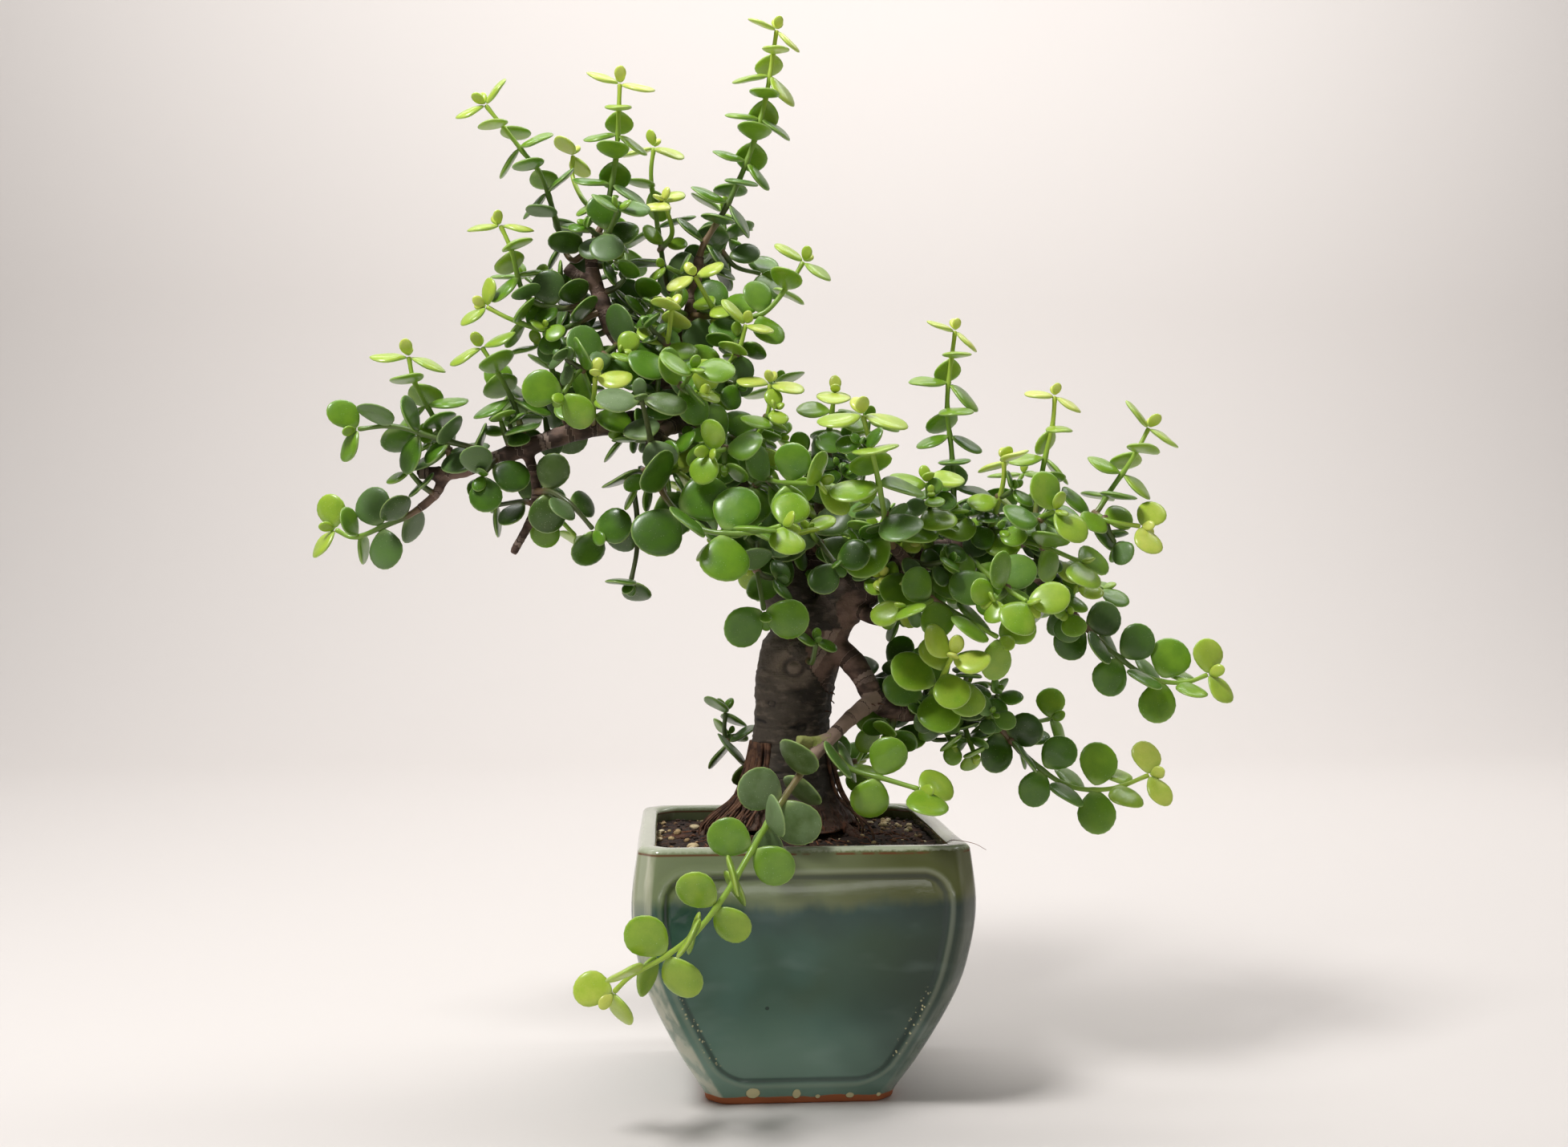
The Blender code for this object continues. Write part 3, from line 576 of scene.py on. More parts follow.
def makePot(finish):
    form = potForm
    bm = bmesh.new()
    inset = bm.verts.layers.float.new("inset")
    corner = bm.verts.layers.float.new("corner")
    firstCorner, lastCorner = form["cornerPoints"]
    bottomHalf = form["profile"][0][1]
    ringSize = len(potOutline(bottomHalf))
    ring = bmesh.ops.create_circle(bm, segments=ringSize, radius=bottomHalf)["verts"]
    for level, (height, half, pressed) in enumerate(potLevels()):
        if level:
            ring = raiseRing(bm, ring)
        for number, (vert, place) in enumerate(zip(ring, potOutline(half))):
            spot = Vector((place.x, place.y, height))
            vert[inset] = pressedIn(place, half, height, spot) if pressed else form["farOutside"]
            waves = noise.noise_vector(spot * form["wobblePitch"])
            vert.co = spot + Vector((waves.x, waves.y, 0)) * form["wobble"] * easeIn(height, 2, 20)
            vert[corner] = firstCorner <= number % (ringSize // 4) <= lastCorner
        if level == 0:
            bm.faces.new(ring)
    bm.faces.new(ring)
    cutDrainHoles(addPiece("pot_glazed", bm, finish, ["pot"]))


def cutDrainHoles(pot):
    bm = bmesh.new()
    radius = potForm["holeRadius"] * mm
    for x in (-potForm["holeX"], potForm["holeX"]):
        bmesh.ops.create_cone(bm, cap_ends=True, segments=32, radius1=radius, radius2=radius, depth=30 * mm,
                              matrix=Matrix.Translation((x * mm, 0, 0)))
    drill = addObject("drill", meshOf(bm, "drill"))
    cut = pot.modifiers.new("holes", "BOOLEAN")
    cut.operation = "DIFFERENCE"
    cut.object = drill
    applied(pot)
    bpy.data.objects.remove(drill)
    pot.data.set_sharp_from_angle(angle=math.radians(50))


glazeLook = {
    "band": paint(126, 136, 102),
    "bandOlive": paint(84, 88, 54),
    "shadow": paint(42, 66, 68),
    "body": paint(58, 88, 72),
    "bodyOlive": paint(60, 78, 50),
    "bodyBlue": paint(72, 106, 94),
    # Painted shade on the right of the pot, standing in for dark reflections there
    "paintedShadeRight": paint(24, 38, 28),
    # Painted reflection of the pale floor on the lower wall
    "low": paint(118, 148, 132),
    "paintedReflection": paint(150, 172, 164),
    # Painted reflection: soft pale patches on the glaze
    "pale": paint(206, 204, 182),
    "line": paint(34, 46, 42),
    "thin": paint(104, 62, 40),
    "rim": paint(176, 182, 158),
    "clay": paint(168, 98, 62),
    "cream": paint(214, 206, 158),
    # Heights of the sage band's lower edge, the pale rim and the bare clay
    "bandLevel": 71.5,
    "rimLevel": 88.4,
    "clayLevel": 2.6,
    # Cream drops of glaze on the front of the foot: across, height, half width and half height
    "drops": [(-16.4, 4.2, 2.6, 2.2), (-1.6, 3.6, 1.6, 1.9), (5.6, 2.4, 0.9, 0.8), (16.6, 2.6, 1.5, 1.1),
              (26.5, 2.6, 0.9, 0.8)],
    "pit": (-12.5, 36.5, 0.75, 0.75),
}


def dropShares(glaze, places):
    # 1 inside any of the small ellipses on the pot's front, 0 outside.
    across, depth, height = (glaze.axis(name) for name in "XYZ")
    wobble = (glaze.cloud(1.5, 2) - 0.5) * 0.5
    shares = None
    for x, z, halfWide, halfHigh in places:
        reach = ((across - x) / halfWide) ** 2 + ((height - z) / halfHigh) ** 2
        share = 1 - glaze.between(reach + wobble, 0.7, 1.0)
        share = share * (1 - glaze.between(depth, -24, -20))
        shares = share if shares is None else shares + share
    return shares


def glazeFinish():
    look = glazeLook
    band, clayEdge, rimEdge = look["bandLevel"], look["clayLevel"], look["rimLevel"]
    glaze = Finish("celadonGlaze", Roughness=0.1, Specular_IOR_Level=0.3, Coat_Weight=0.25,
                   Coat_Roughness=0.05)
    height = glaze.axis("Z")
    across = glaze.axis("X")
    inset = glaze.attribute("inset")
    drift = glaze.cloud(38, 2)
    ragged = glaze.cloud(9, 3, (1, 1, 2.2))
    fine = glaze.cloud(1.2, 3)
    body = glaze.blend(glaze.between(drift, 0.4, 0.66), look["body"], look["bodyBlue"])
    olive = glaze.between(glaze.cloud(46, 2) + across * 0.003, 0.42, 0.62) * glaze.between(height, 22, 44)
    body = glaze.blend(olive * 0.5, body, look["bodyOlive"])
    # Painted reflection: the lower part of the pot is lightened as if it reflected the pale floor
    lower = 1 - glaze.between(height + (drift - 0.5) * 26, 14, 44)
    body = glaze.blend(lower * 0.85, body, look["low"])
    # Under the sage band a painted shade darkens the glaze, and the band's edge is softly ragged
    edge = height + (ragged - 0.5) * 7 + (drift - 0.5) * 9
    paintedShadeUnderBand = glaze.between(edge, band - 14, band - 2)
    body = glaze.blend(paintedShadeUnderBand * 0.55, body, look["shadow"])
    # Painted shade: the glaze darkens towards the right, standing in for the dark reflections there
    paintedShadeRightShare = glaze.between(across + (drift - 0.5) * 30, 4, 44)
    body = glaze.blend(paintedShadeRightShare * 0.72, body, look["paintedShadeRight"])
    # Painted reflections: soft pale patches, wider than high, on the glaze
    paintedReflectionShare = glaze.between(glaze.cloud(15, 2, (1.8, 1.8, 0.8)), 0.5, 0.74)
    body = glaze.blend(paintedReflectionShare * 0.13, body, look["paintedReflection"])
    bandTone = glaze.blend(glaze.between(drift * 40 + across, 6, 52), look["band"], look["bandOlive"])
    colour = glaze.blend(glaze.between(edge, band - 2.5, band + 3.5), body, bandTone)
    # The panel's outline: pooled dark inside its edge, thin along the lip
    colour = glaze.blend(glaze.band(inset, (-0.4, 0.7), (1.2, 2.4)) * 0.6, colour, look["line"])
    colour = glaze.blend(glaze.band(inset, (-2.6, -1.2), (-0.9, 0.1)) * 0.22, colour, look["rim"])
    flecks = glaze.band(inset, (-1.5, 0), (1.5, 3)) * glaze.band(height, (12, 20), (34, 46))
    colour = glaze.blend(glaze.specks(1.5, 0.5) * flecks * 0.8, colour, look["cream"])
    # The cut corners: pale streaks, partly where the glaze runs thin and partly a painted reflection,
    # strongest on the left where the light falls
    corner = glaze.attribute("corner")
    streaks = glaze.between(glaze.cloud(5, 3, (1, 1, 9)), 0.4, 0.6)
    litLeftShare = 1 - glaze.between(across + height * 0.2, -30, 40)
    thin = corner * (streaks * 0.55 + 0.3) * (litLeftShare * 0.75 + 0.12)
    colour = glaze.blend(thin, colour, look["pale"])
    # The rim: pale on top, with a brown line where the glaze is thin, broken towards the right
    onRim = glaze.between(height + (fine - 0.5) * 1.5, rimEdge, rimEdge + 1)
    colour = glaze.blend(onRim * 0.8, colour, look["rim"])
    line = glaze.band(height, (87.4, 87.9), (88.1, 88.6))
    broken = glaze.between(glaze.cloud(7, 3) - across * 0.003, 0.3, 0.46)
    colour = glaze.blend(line * broken * 0.85, colour, look["thin"])
    colour = glaze.blend(dropShares(glaze, [look["pit"]]) * 0.8, colour, look["line"])
    clay = 1 - glaze.between(height + (ragged - 0.5) * 2.4, clayEdge - 0.2, clayEdge + 0.3)
    colour = glaze.blend(clay, colour, look["clay"])
    drops = dropShares(glaze, look["drops"])
    colour = glaze.blend(drops, colour, look["cream"])
    glaze.into("Base Color", colour)
    glaze.into("Roughness", clay * (1 - drops) * 0.55 + 0.1 + fine * 0.04)
    glaze.into("Coat Weight", (1 - clay) * 0.28)
    glaze.relief(fine * 0.12 + glaze.cloud(14, 2) + drops * 3, 0.16)
    return glaze


glaze = glazeFinish()
makePot(glaze)
print("pot made")


# Soil

soilForm = {
    "edge": 84.6,
    "rise": 5.4,
    "moundRadius": 48.0,
    "lump": 0.9,
    "cell": 1.3,
    "corner": 3.2,
    "lowerLevels": [70, 55, 40, 24, 12, 7.8],
    "grains": 620,
    "grainSizes": (0.5, 1.6),
    "trunkRoom": 20,
    # Pale granules: how many in all, and the corners where they lie thickest
    "pebbles": 66,
    "pebbleSizes": (1.2, 2.3),
    "pebbleSpots": [(-38, -34, 7), (-40, 6, 9), (36, 30, 8), (40, -36, 6), (8, 36, 10)],
    "fibres": 46,
    "creeper": [(44, -44, 86), (48, -48, 90.6), (51, -51, 91.2), (55.5, -54, 90.6), (59, -55.4, 88.8)],
    "seed": 31,
}


def soilHeight(x, y):
    reach = math.hypot(x - trunkFoot.x, y)
    mound = soilForm["rise"] * max(0, 1 - reach / soilForm["moundRadius"]) ** 0.8
    lumps = noise.noise(Vector((x, y, 0)) * 0.16) + 0.5 * noise.noise(Vector((x, y, 7)) * 0.45)
    return soilForm["edge"] + mound + soilForm["lump"] * lumps


def makeSoil(finish):
    # A closed block as wide as the pot inside, with a fine lumpy top.
    form = soilForm
    top = potHalf(form["edge"]) - potForm["wall"] - 0.3
    bm = bmesh.new()
    cells = round(2 * top / form["cell"])
    bmesh.ops.create_grid(bm, x_segments=cells, y_segments=cells, size=top)
    for vert in bm.verts:
        x, y = vert.co.x, vert.co.y
        over = abs(x) + abs(y) - (2 * top - form["corner"])
        if over > 0:
            vert.co.x -= math.copysign(over / 2, x)
            vert.co.y -= math.copysign(over / 2, y)
        vert.co.z = soilHeight(vert.co.x, vert.co.y)
    border = [edge for edge in bm.edges if edge.is_boundary]
    before = top
    for height in form["lowerLevels"]:
        grown = bmesh.ops.extrude_edge_only(bm, edges=border)["geom"]
        half = potHalf(height) - potForm["wall"] - 0.3
        for vert in only(bmesh.types.BMVert, grown):
            vert.co = (vert.co.x * half / before, vert.co.y * half / before, height)
        border = only(bmesh.types.BMEdge, grown)
        before = half
    bmesh.ops.holes_fill(bm, edges=border)
    addPiece("soil_bed", bm, finish, ["soil"])


def makeGrains(finish):
    # Grit and bark crumbs on the soil: few-sided stones, each with its own tone.
    form = soilForm
    draw = random.Random(form["seed"])
    bm = bmesh.new()
    tone = bm.verts.layers.float.new("tone")
    reach = potHalf(form["edge"]) - potForm["wall"] - 1.5
    for number in range(form["grains"] + form["pebbles"]):
        pebble = number >= form["grains"]
        x, y = draw.uniform(-reach, reach), draw.uniform(-reach, reach)
        if pebble:
            centreX, centreY, spread = form["pebbleSpots"][number % len(form["pebbleSpots"])]
            x = max(-reach, min(reach, draw.gauss(centreX, spread)))
            y = max(-reach, min(reach, draw.gauss(centreY, spread)))
        if abs(x) + abs(y) > 2 * reach - 4 or math.hypot(x - trunkFoot.x, y) < form["trunkRoom"]:
            continue
        if pebble:
            size, shade = draw.uniform(*form["pebbleSizes"]), draw.uniform(0.75, 1)
        else:
            size = draw.uniform(*form["grainSizes"]) * draw.uniform(0.6, 1)
            shade = draw.random() ** 1.5
        made = bmesh.ops.create_icosphere(bm, subdivisions=1, radius=size)["verts"]
        squash = Matrix.Diagonal((draw.uniform(0.8, 1.5), draw.uniform(0.7, 1.1), draw.uniform(0.5, 0.9), 1))
        turn = Matrix.Rotation(draw.uniform(0, math.tau), 4, "Z")
        turn = turn @ Matrix.Rotation(draw.uniform(-0.6, 0.6), 4, "X")
        place = Matrix.Translation((x, y, soilHeight(x, y) + size * 0.25))
        for vert in made:
            vert.co *= 1 + 0.25 * noise.noise(vert.co * 1.7 + Vector((x, y, 0)))
            vert[tone] = shade
        bmesh.ops.transform(bm, matrix=place @ turn @ squash, verts=made)
    addPiece("soil_grit", bm, finish, subdivided=1)


def makeFibres(finish):
    # Fine dry roots that lie on the soil, and one that has crept over the rim.
    form = soilForm
    draw = random.Random(form["seed"] + 1)
    bm = bmesh.new()
    for _ in range(form["fibres"]):
        angle = draw.uniform(0, math.tau)
        reach = draw.uniform(19, 38)
        spot = trunkFoot + wayOut(angle) * reach
        heading = angle + draw.uniform(-1.2, 1.2)
        points = []
        for step in range(6):
            points.append((spot.x, spot.y, soilHeight(spot.x, spot.y) + draw.uniform(-0.2, 0.7)))
            heading += draw.uniform(-0.6, 0.6)
            spot += wayOut(heading) * draw.uniform(1.2, 2.6)
            if max(abs(spot.x), abs(spot.y)) > 45:
                break
        if len(points) > 2:
            strand(bm, points, 1.2, 0.28, 0.12)
    strand(bm, form["creeper"], 1, 0.16, 0.08)
    addPiece("root_fibres", bm, finish)


soilLook = {
    "dark": paint(34, 24, 18),
    "brown": paint(74, 48, 34),
    "rust": paint(98, 58, 38),
    "gritStops": [(0.0, paint(40, 30, 24)), (0.45, paint(84, 56, 40)), (0.7, paint(128, 96, 66)),
                  (0.86, paint(196, 170, 124)), (1.0, paint(222, 206, 168))],
    "fibre": paint(128, 82, 54),
    "rootBrown": paint(108, 76, 56),
    "rootDark": paint(62, 41, 30),
}


def soilFinish():
    soil = Finish("dampSoil", Roughness=0.95)
    crumbs = soil.cloud(1.4, 5)
    patches = soil.cloud(12, 3)
    colour = soil.blend(soil.between(crumbs, 0.42, 0.7), soilLook["dark"], soilLook["brown"])
    colour = soil.blend(soil.between(patches, 0.5, 0.7) * 0.6, colour, soilLook["rust"])
    soil.into("Base Color", colour)
    soil.relief(crumbs + soil.cloud(0.6, 3) * 0.5, 0.8)
    return soil


def gritFinish():
    grit = Finish("pottingGrit", Roughness=0.85)
    mottle = grit.cloud(0.7, 3)
    colour = grit.ramp(grit.attribute("tone"), soilLook["gritStops"])
    grit.into("Base Color", grit.blend(grit.between(mottle, 0.45, 0.7) * 0.4, colour, soilLook["dark"]))
    grit.relief(mottle, 0.3)
    return grit


def fibreFinish():
    fibre = Finish("dryRoot", Roughness=0.8)
    fibre.into("Base Color", fibre.blend(fibre.cloud(2, 2), soilLook["fibre"], soilLook["rust"]))
    fibre.relief(fibre.cloud(0.5, 2), 0.1)
    return fibre


def rootFinish():
    root = Finish("rootBark", Roughness=0.85)
    patches = root.between(root.cloud(3, 3), 0.4, 0.65)
    colour = root.blend(patches, soilLook["rootBrown"], soilLook["rootDark"])
    worn = root.between(root.cloud(1.2, 3), 0.6, 0.75)
    root.into("Base Color", root.blend(worn * 0.5, colour, soilLook["fibre"]))
    root.relief(root.cloud(0.5, 2), 0.15)
    return root


# Wood

trunk = {
    "points": [(-1, 0, 89.4), (-1, 0, 94), (-1, 0, 100), (-1, 0, 107), (-1, 0, 115), (-1, 0, 126),
               (0, 0, 141), (3, 0, 153), (5, 0, 163)],
    "radii": [24, 20.5, 17.5, 15.6, 14.4, 13.6, 14.2, 14.8, 10],
    "sides": 48,
}

trunkFoot = Vector((-1, 0, 0))

# Centreline points and the radius at each end of every limb
limbs = {
    "leftLimb": (
        [(4, 0, 152), (-3, 2, 175), (-13, 5, 192), (-22, 6, 210), (-32, 5, 226), (-41, 5, 243),
         (-53, 4, 257), (-64, 3, 267), (-70, 2, 280), (-73, 2, 291), (-73, 3, 299)], 11.0, 2.2),
    "rightLimb": (
        [(6, -2, 154), (17, -5, 169), (31, -8, 179), (48, -9, 186), (67, -9, 190), (87, -8, 194),
         (103, -7, 198)], 10.5, 2.0),
    "middleLimb": ([(5, 4, 160), (8, 11, 179), (11, 15, 197), (13, 15, 215), (13, 11, 229)], 7.0, 2.0),
    "lowBranch": (
        [(6, -2, 158), (18, -8, 151), (24, -12, 143), (28, -14, 135), (37, -13, 131), (51, -9, 131),
         (65, -5, 132), (73, -3, 129)], 5.5, 2.0),
    "hangBranch": ([(28, -14, 136), (18, -25, 130), (10, -35, 124), (4, -42, 119), (0, -47, 116)], 3.4, 1.9),
    "leftBranch": (
        [(-40, 5, 241), (-55, -4, 235), (-72, -7, 232), (-88, -8, 227), (-105, -7, 221), (-121, -3, 216),
         (-134, -1, 216)], 4.6, 2.3),
    "crownRight": ([(-45, 5, 248), (-40, 11, 266), (-36, 11, 284), (-34, 8, 297)], 3.6, 1.9),
    "frontLimb": ([(-37, 4, 235), (-46, -13, 231), (-51, -24, 223), (-48, -33, 211)], 3.6, 1.9),
    "downTwig": ([(-96, -7, 225), (-92, -8, 213), (-93, -7, 201), (-100, -7, 187)], 2.1, 1.5),
    "lowTwig": ([(-123, -3, 216), (-126, -1, 212), (-128, -1, 208), (-134, 0, 203)], 2.0, 1.5),
    "rightTwig": ([(72, -9, 190), (83, -3, 183), (95, -2, 174), (103, -2, 165)], 2.4, 1.7),
    "frontRight": ([(38, -9, 182), (37, -27, 184), (31, -36, 189)], 3.2, 1.9),
    "backLimb": ([(8, 10, 178), (12, 29, 188), (22, 43, 201)], 4.4, 2.4),
    "cutStub": ([(10, -35, 124), (3, -40, 123), (-2, -43, 124)], 2.0, 1.9),
    "rightStub": ([(20, -6, 169), (26, -16, 165), (31, -20, 164)], 3.2, 2.6),
    "crownStub": ([(-71, 2, 284), (-78, -1, 287), (-82, -2, 290)], 2.4, 2.2),
}

woodForm = {
    "voxel": 0.75,
    "ringStep": 2.0,
    "limbSides": 18,
    "scarSpacing": 9.0,
    "scarHeight": 0.10,
    "lobes": 0.12,
    "lobeTurn": 2.4,
    "fineRelief": 0.28,
    "coarseRelief": 0.7,
    "cracks": [(127, 0.9), (139, 0.6), (110, 1.0), (103, 0.5), (118, 0.5), (133, 0.4), (145, 0.5)],
    # Old branch scars on the trunk's front: across, height, size and relief
    "scars": [(1.9, 126, 4.6, 0.34), (-1, 147, 9.5, 0.75), (-9, 134, 3.4, 0.25), (8, 114, 3.6, 0.3)],
    # Limbs with paler bark, 2 for one whose cut end is still green
    "youth": {"hangBranch": 1, "cutStub": 2},
    # Surface roots: angle round the trunk in degrees, length and thickness
    "roots": [(182, 27, 4.2), (205, 22, 3.0), (150, 20, 3.2), (250, 17, 3.2), (290, 21, 3.0), (335, 24, 3.6),
              (20, 20, 3.0), (60, 24, 3.4), (100, 21, 3.2)],
}


rootForm = {
    "seed": 77,
    # Angle round the trunk and how many fibres run down there
    "flares": [(180, 46), (202, 24), (154, 18), (226, 6), (345, 6)],
    "spread": 10,
    "reach": (24, 33),
    # Heights that the fibres run between, and how far they swell out from the bark
    "heights": (120, 86),
    "swell": 2.6,
    "thickness": (0.35, 0.95),
    # Where short bristles stick out of the trunk: angle, lowest and highest
    "bristles": (-24, 130, 141),
    "bristleCount": 12,
    # How far out a look for the bark starts
    "castFrom": 60,
}


def makeRoots(finish):
    # Thin roots that run down over the foot of the trunk into the soil, and a few short dry ones higher up.
    form = rootForm
    draw = random.Random(form["seed"])
    bark = BVHTree.FromBMesh(inMillimetres("trunk"))
    bm = bmesh.new()
    for bearing, count in form["flares"]:
        for _ in range(count):
            angle = math.radians(bearing + draw.gauss(0, form["spread"]))
            wander = draw.uniform(-0.12, 0.12)
            reach = draw.uniform(*form["reach"])
            thick = draw.uniform(*form["thickness"])
            swell = draw.uniform(0, form["swell"])
            points = []
            for step in range(8):
                share = step / 7
                turn = angle + wander * math.sin(share * 5 + bearing)
                way = wayOut(turn)
                height = form["heights"][0] - (form["heights"][0] - form["heights"][1]) * share ** 0.8
                middle = trunkFoot + up * height
                hit = bark.ray_cast(middle + way * form["castFrom"], -way)[0]
                out = (hit - middle).length if hit else form["reach"][0]
                out = max(out, out + (reach - out) * easeIn(share, 0.45, 1.0)) + 0.4
                out += swell * math.sin(math.pi * share)
                spot = trunkFoot + way * out
                points.append(spot + up * max(height, soilHeight(spot.x, spot.y) - 0.4))
            strand(bm, points, 2.4, thick, thick * 0.5)
    angle, low, high = form["bristles"]
    for _ in range(form["bristleCount"]):
        turn = math.radians(angle + draw.uniform(-14, 14))
        way = wayOut(turn)
        height = draw.uniform(low, high)
        spot = bark.ray_cast(trunkFoot + up * height + way * form["castFrom"], -way)[0]
        droop = Vector((draw.uniform(-0.3, 0.3), draw.uniform(-0.3, 0.3), draw.uniform(-1, -0.2)))
        strand(bm, [spot - way * 0.5, spot + way * 1.0, spot + way * 1.8 + droop], 0.7, 0.42, 0.16)
    addPiece("root_flare", bm, finish)


def trunkSwell(route):
    # Root lobes low down, and shallow flutes all the way up.
    radii = trunkRadii(route)

    def swell(number, angle):
        lobe = woodForm["lobes"] * (radii[number] / trunk["radii"][0]) ** 3
        side = angle / math.tau * 10
        height = route[number].z
        flute = 0.03 * math.sin(3 * angle + height * 0.05) + 0.02 * math.sin(7 * angle - height * 0.09)
        return 1 + lobe * math.sin(1 + side * woodForm["lobeTurn"]) + flute

    return swell


def trunkRadii(route):
    heights = [point[2] for point in trunk["points"]]
    found = []
    for point in route:
        for number in range(len(heights) - 1):
            if point.z <= heights[number + 1] or number == len(heights) - 2:
                share = (point.z - heights[number]) / (heights[number + 1] - heights[number])
                share = max(0, min(1, share))
                found.append(trunk["radii"][number] * (1 - share) + trunk["radii"][number + 1] * share)
                break
    return found


def limbRadii(route, start, stop, phase):
    # Tapered, with a low ring wherever a pair of leaves once grew.
    lengths = routeLengths(route)
    radii = []
    for length, radius in zip(lengths, tapered(lengths, start, stop)):
        around = (length + phase) % woodForm["scarSpacing"] - woodForm["scarSpacing"] / 2
        ring = math.exp(-(around / 1.1) ** 2)
        uneven = 0.1 * noise.noise(Vector((length * 0.3, phase, 0)))
        radii.append(radius * (1 + woodForm["scarHeight"] * ring) + uneven)
    return radii


def makeWood(finish):
    # All limbs as tubes, joined by a fine remesh, then given the relief of bark.
    form = woodForm
    bm = bmesh.new()
    route = smoothRoute(trunk["points"], 1.5)
    tube(bm, route, trunkRadii(route), trunk["sides"], trunkSwell(route))
    samples = [(point, length, 15, 0) for point, length in zip(route, routeLengths(route))]
    for number, (name, (points, start, stop)) in enumerate(limbs.items()):
        route = smoothRoute(points, form["ringStep"])
        radii = limbRadii(route, start, stop, number * 3.7)
        tube(bm, route, radii, form["limbSides"])
        youth = form["youth"].get(name, 0)
        samples += [(*sample, youth) for sample in zip(route, routeLengths(route), radii)]
    for angle, length, thickness in form["roots"]:
        way = wayOut(math.radians(angle))
        foot = trunkFoot
        wander = way.cross(up) * math.sin(angle) * 2
        points = [foot + way * 10 + up * 101, foot + way * 15 + up * 95,
                  foot + way * 19 + wander + up * 91, foot + way * length + wander * 2 + up * 88.6,
                  foot + way * (length + 5) + wander * 3 + up * 85.5]
        strand(bm, points, form["ringStep"], thickness * 1.25, thickness * 0.45, 14)
    wood = addPiece("bark_wood", bm, finish, ["trunk"])
    joined = wood.modifiers.new("joined", "REMESH")
    joined.mode = "VOXEL"
    joined.voxel_size = form["voxel"] * mm
    applied(wood)
    carveBark(wood, samples)
    wood.data.shade_smooth()


def carveBark(wood, samples):
    # Moves the bark in and out by noise, cracks the trunk, and stores what the bark's colour needs.
    form = woodForm
    tree = KDTree(len(samples))
    for number, (point, *_) in enumerate(samples):
        tree.insert(point, number)
    tree.balance()
    bm = bmesh.new()
    bm.from_mesh(wood.data)
    resize(bm, 1 / mm)
    for _ in range(2):
        bmesh.ops.smooth_vert(bm, verts=bm.verts[:], factor=0.5, use_axis_x=True, use_axis_y=True,
                              use_axis_z=True)
    bm.normal_update()
    layers = [bm.verts.layers.float.new(name) for name in ("along", "girth", "crack", "young", "scar")]
    for vert in bm.verts:
        spot = vert.co
        _, number, _ = tree.find(spot)
        _, length, radius, youth = samples[number]
        thick = easeIn(radius, 2.5, 12)
        rough = form["fineRelief"] * (0.35 + 0.65 * thick) * noise.noise(spot * 0.55)
        rough += form["coarseRelief"] * thick * noise.noise(spot * 0.14)
        rough += 0.35 * thick * noise.noise(Vector((spot.x * 0.12, spot.y * 0.12, spot.z * 0.9)))
        cut = 0
        scarred = 0
        if radius > 12:
            angle = math.atan2(spot.y, spot.x - trunkFoot.x)
            for level, depth in form["cracks"]:
                line = level + 2.4 * noise.noise(Vector((angle * 1.3, level, 0)))
                line += 1.2 * math.sin(angle * 2 + level)
                broken = easeIn(noise.noise(Vector((angle * 1.7, level * 3, 5))), -0.25, 0.2)
                cut = max(cut, depth * broken * math.exp(-((spot.z - line) / 0.7) ** 2))
            for across, height, size, depth in form["scars"]:
                away = math.hypot(spot.x - across, (spot.z - height) * 1.2) / size
                near = math.exp(-away ** 2) * easeIn(-spot.y, 2, 8)
                rough += depth * near * math.cos(away * 8)
                cut = max(cut, 0.75 * near * max(0, -math.cos(away * 8)))
                scarred = max(scarred, near * depth)
        vert.co = spot + vert.normal * (rough - 0.8 * cut)
        for layer, value in zip(layers, (length, radius, cut, youth, scarred)):
            vert[layer] = value
    resize(bm, mm)
    bm.to_mesh(wood.data)
    bm.free()


barkLook = {
    "old": paint(82, 73, 63),
    # Dark mottle of old bark, and also the painted shade on the trunk's right side
    "oldDark": paint(38, 31, 23),
    "oldPale": paint(142, 126, 110),
    "twig": paint(116, 92, 80),
    "twigDark": paint(62, 46, 37),
    "twigPale": paint(170, 148, 134),
    "young": paint(158, 134, 118),
    "cutGreen": paint(136, 146, 70),
    "crack": paint(22, 16, 12),
    "root": paint(98, 58, 38),
}


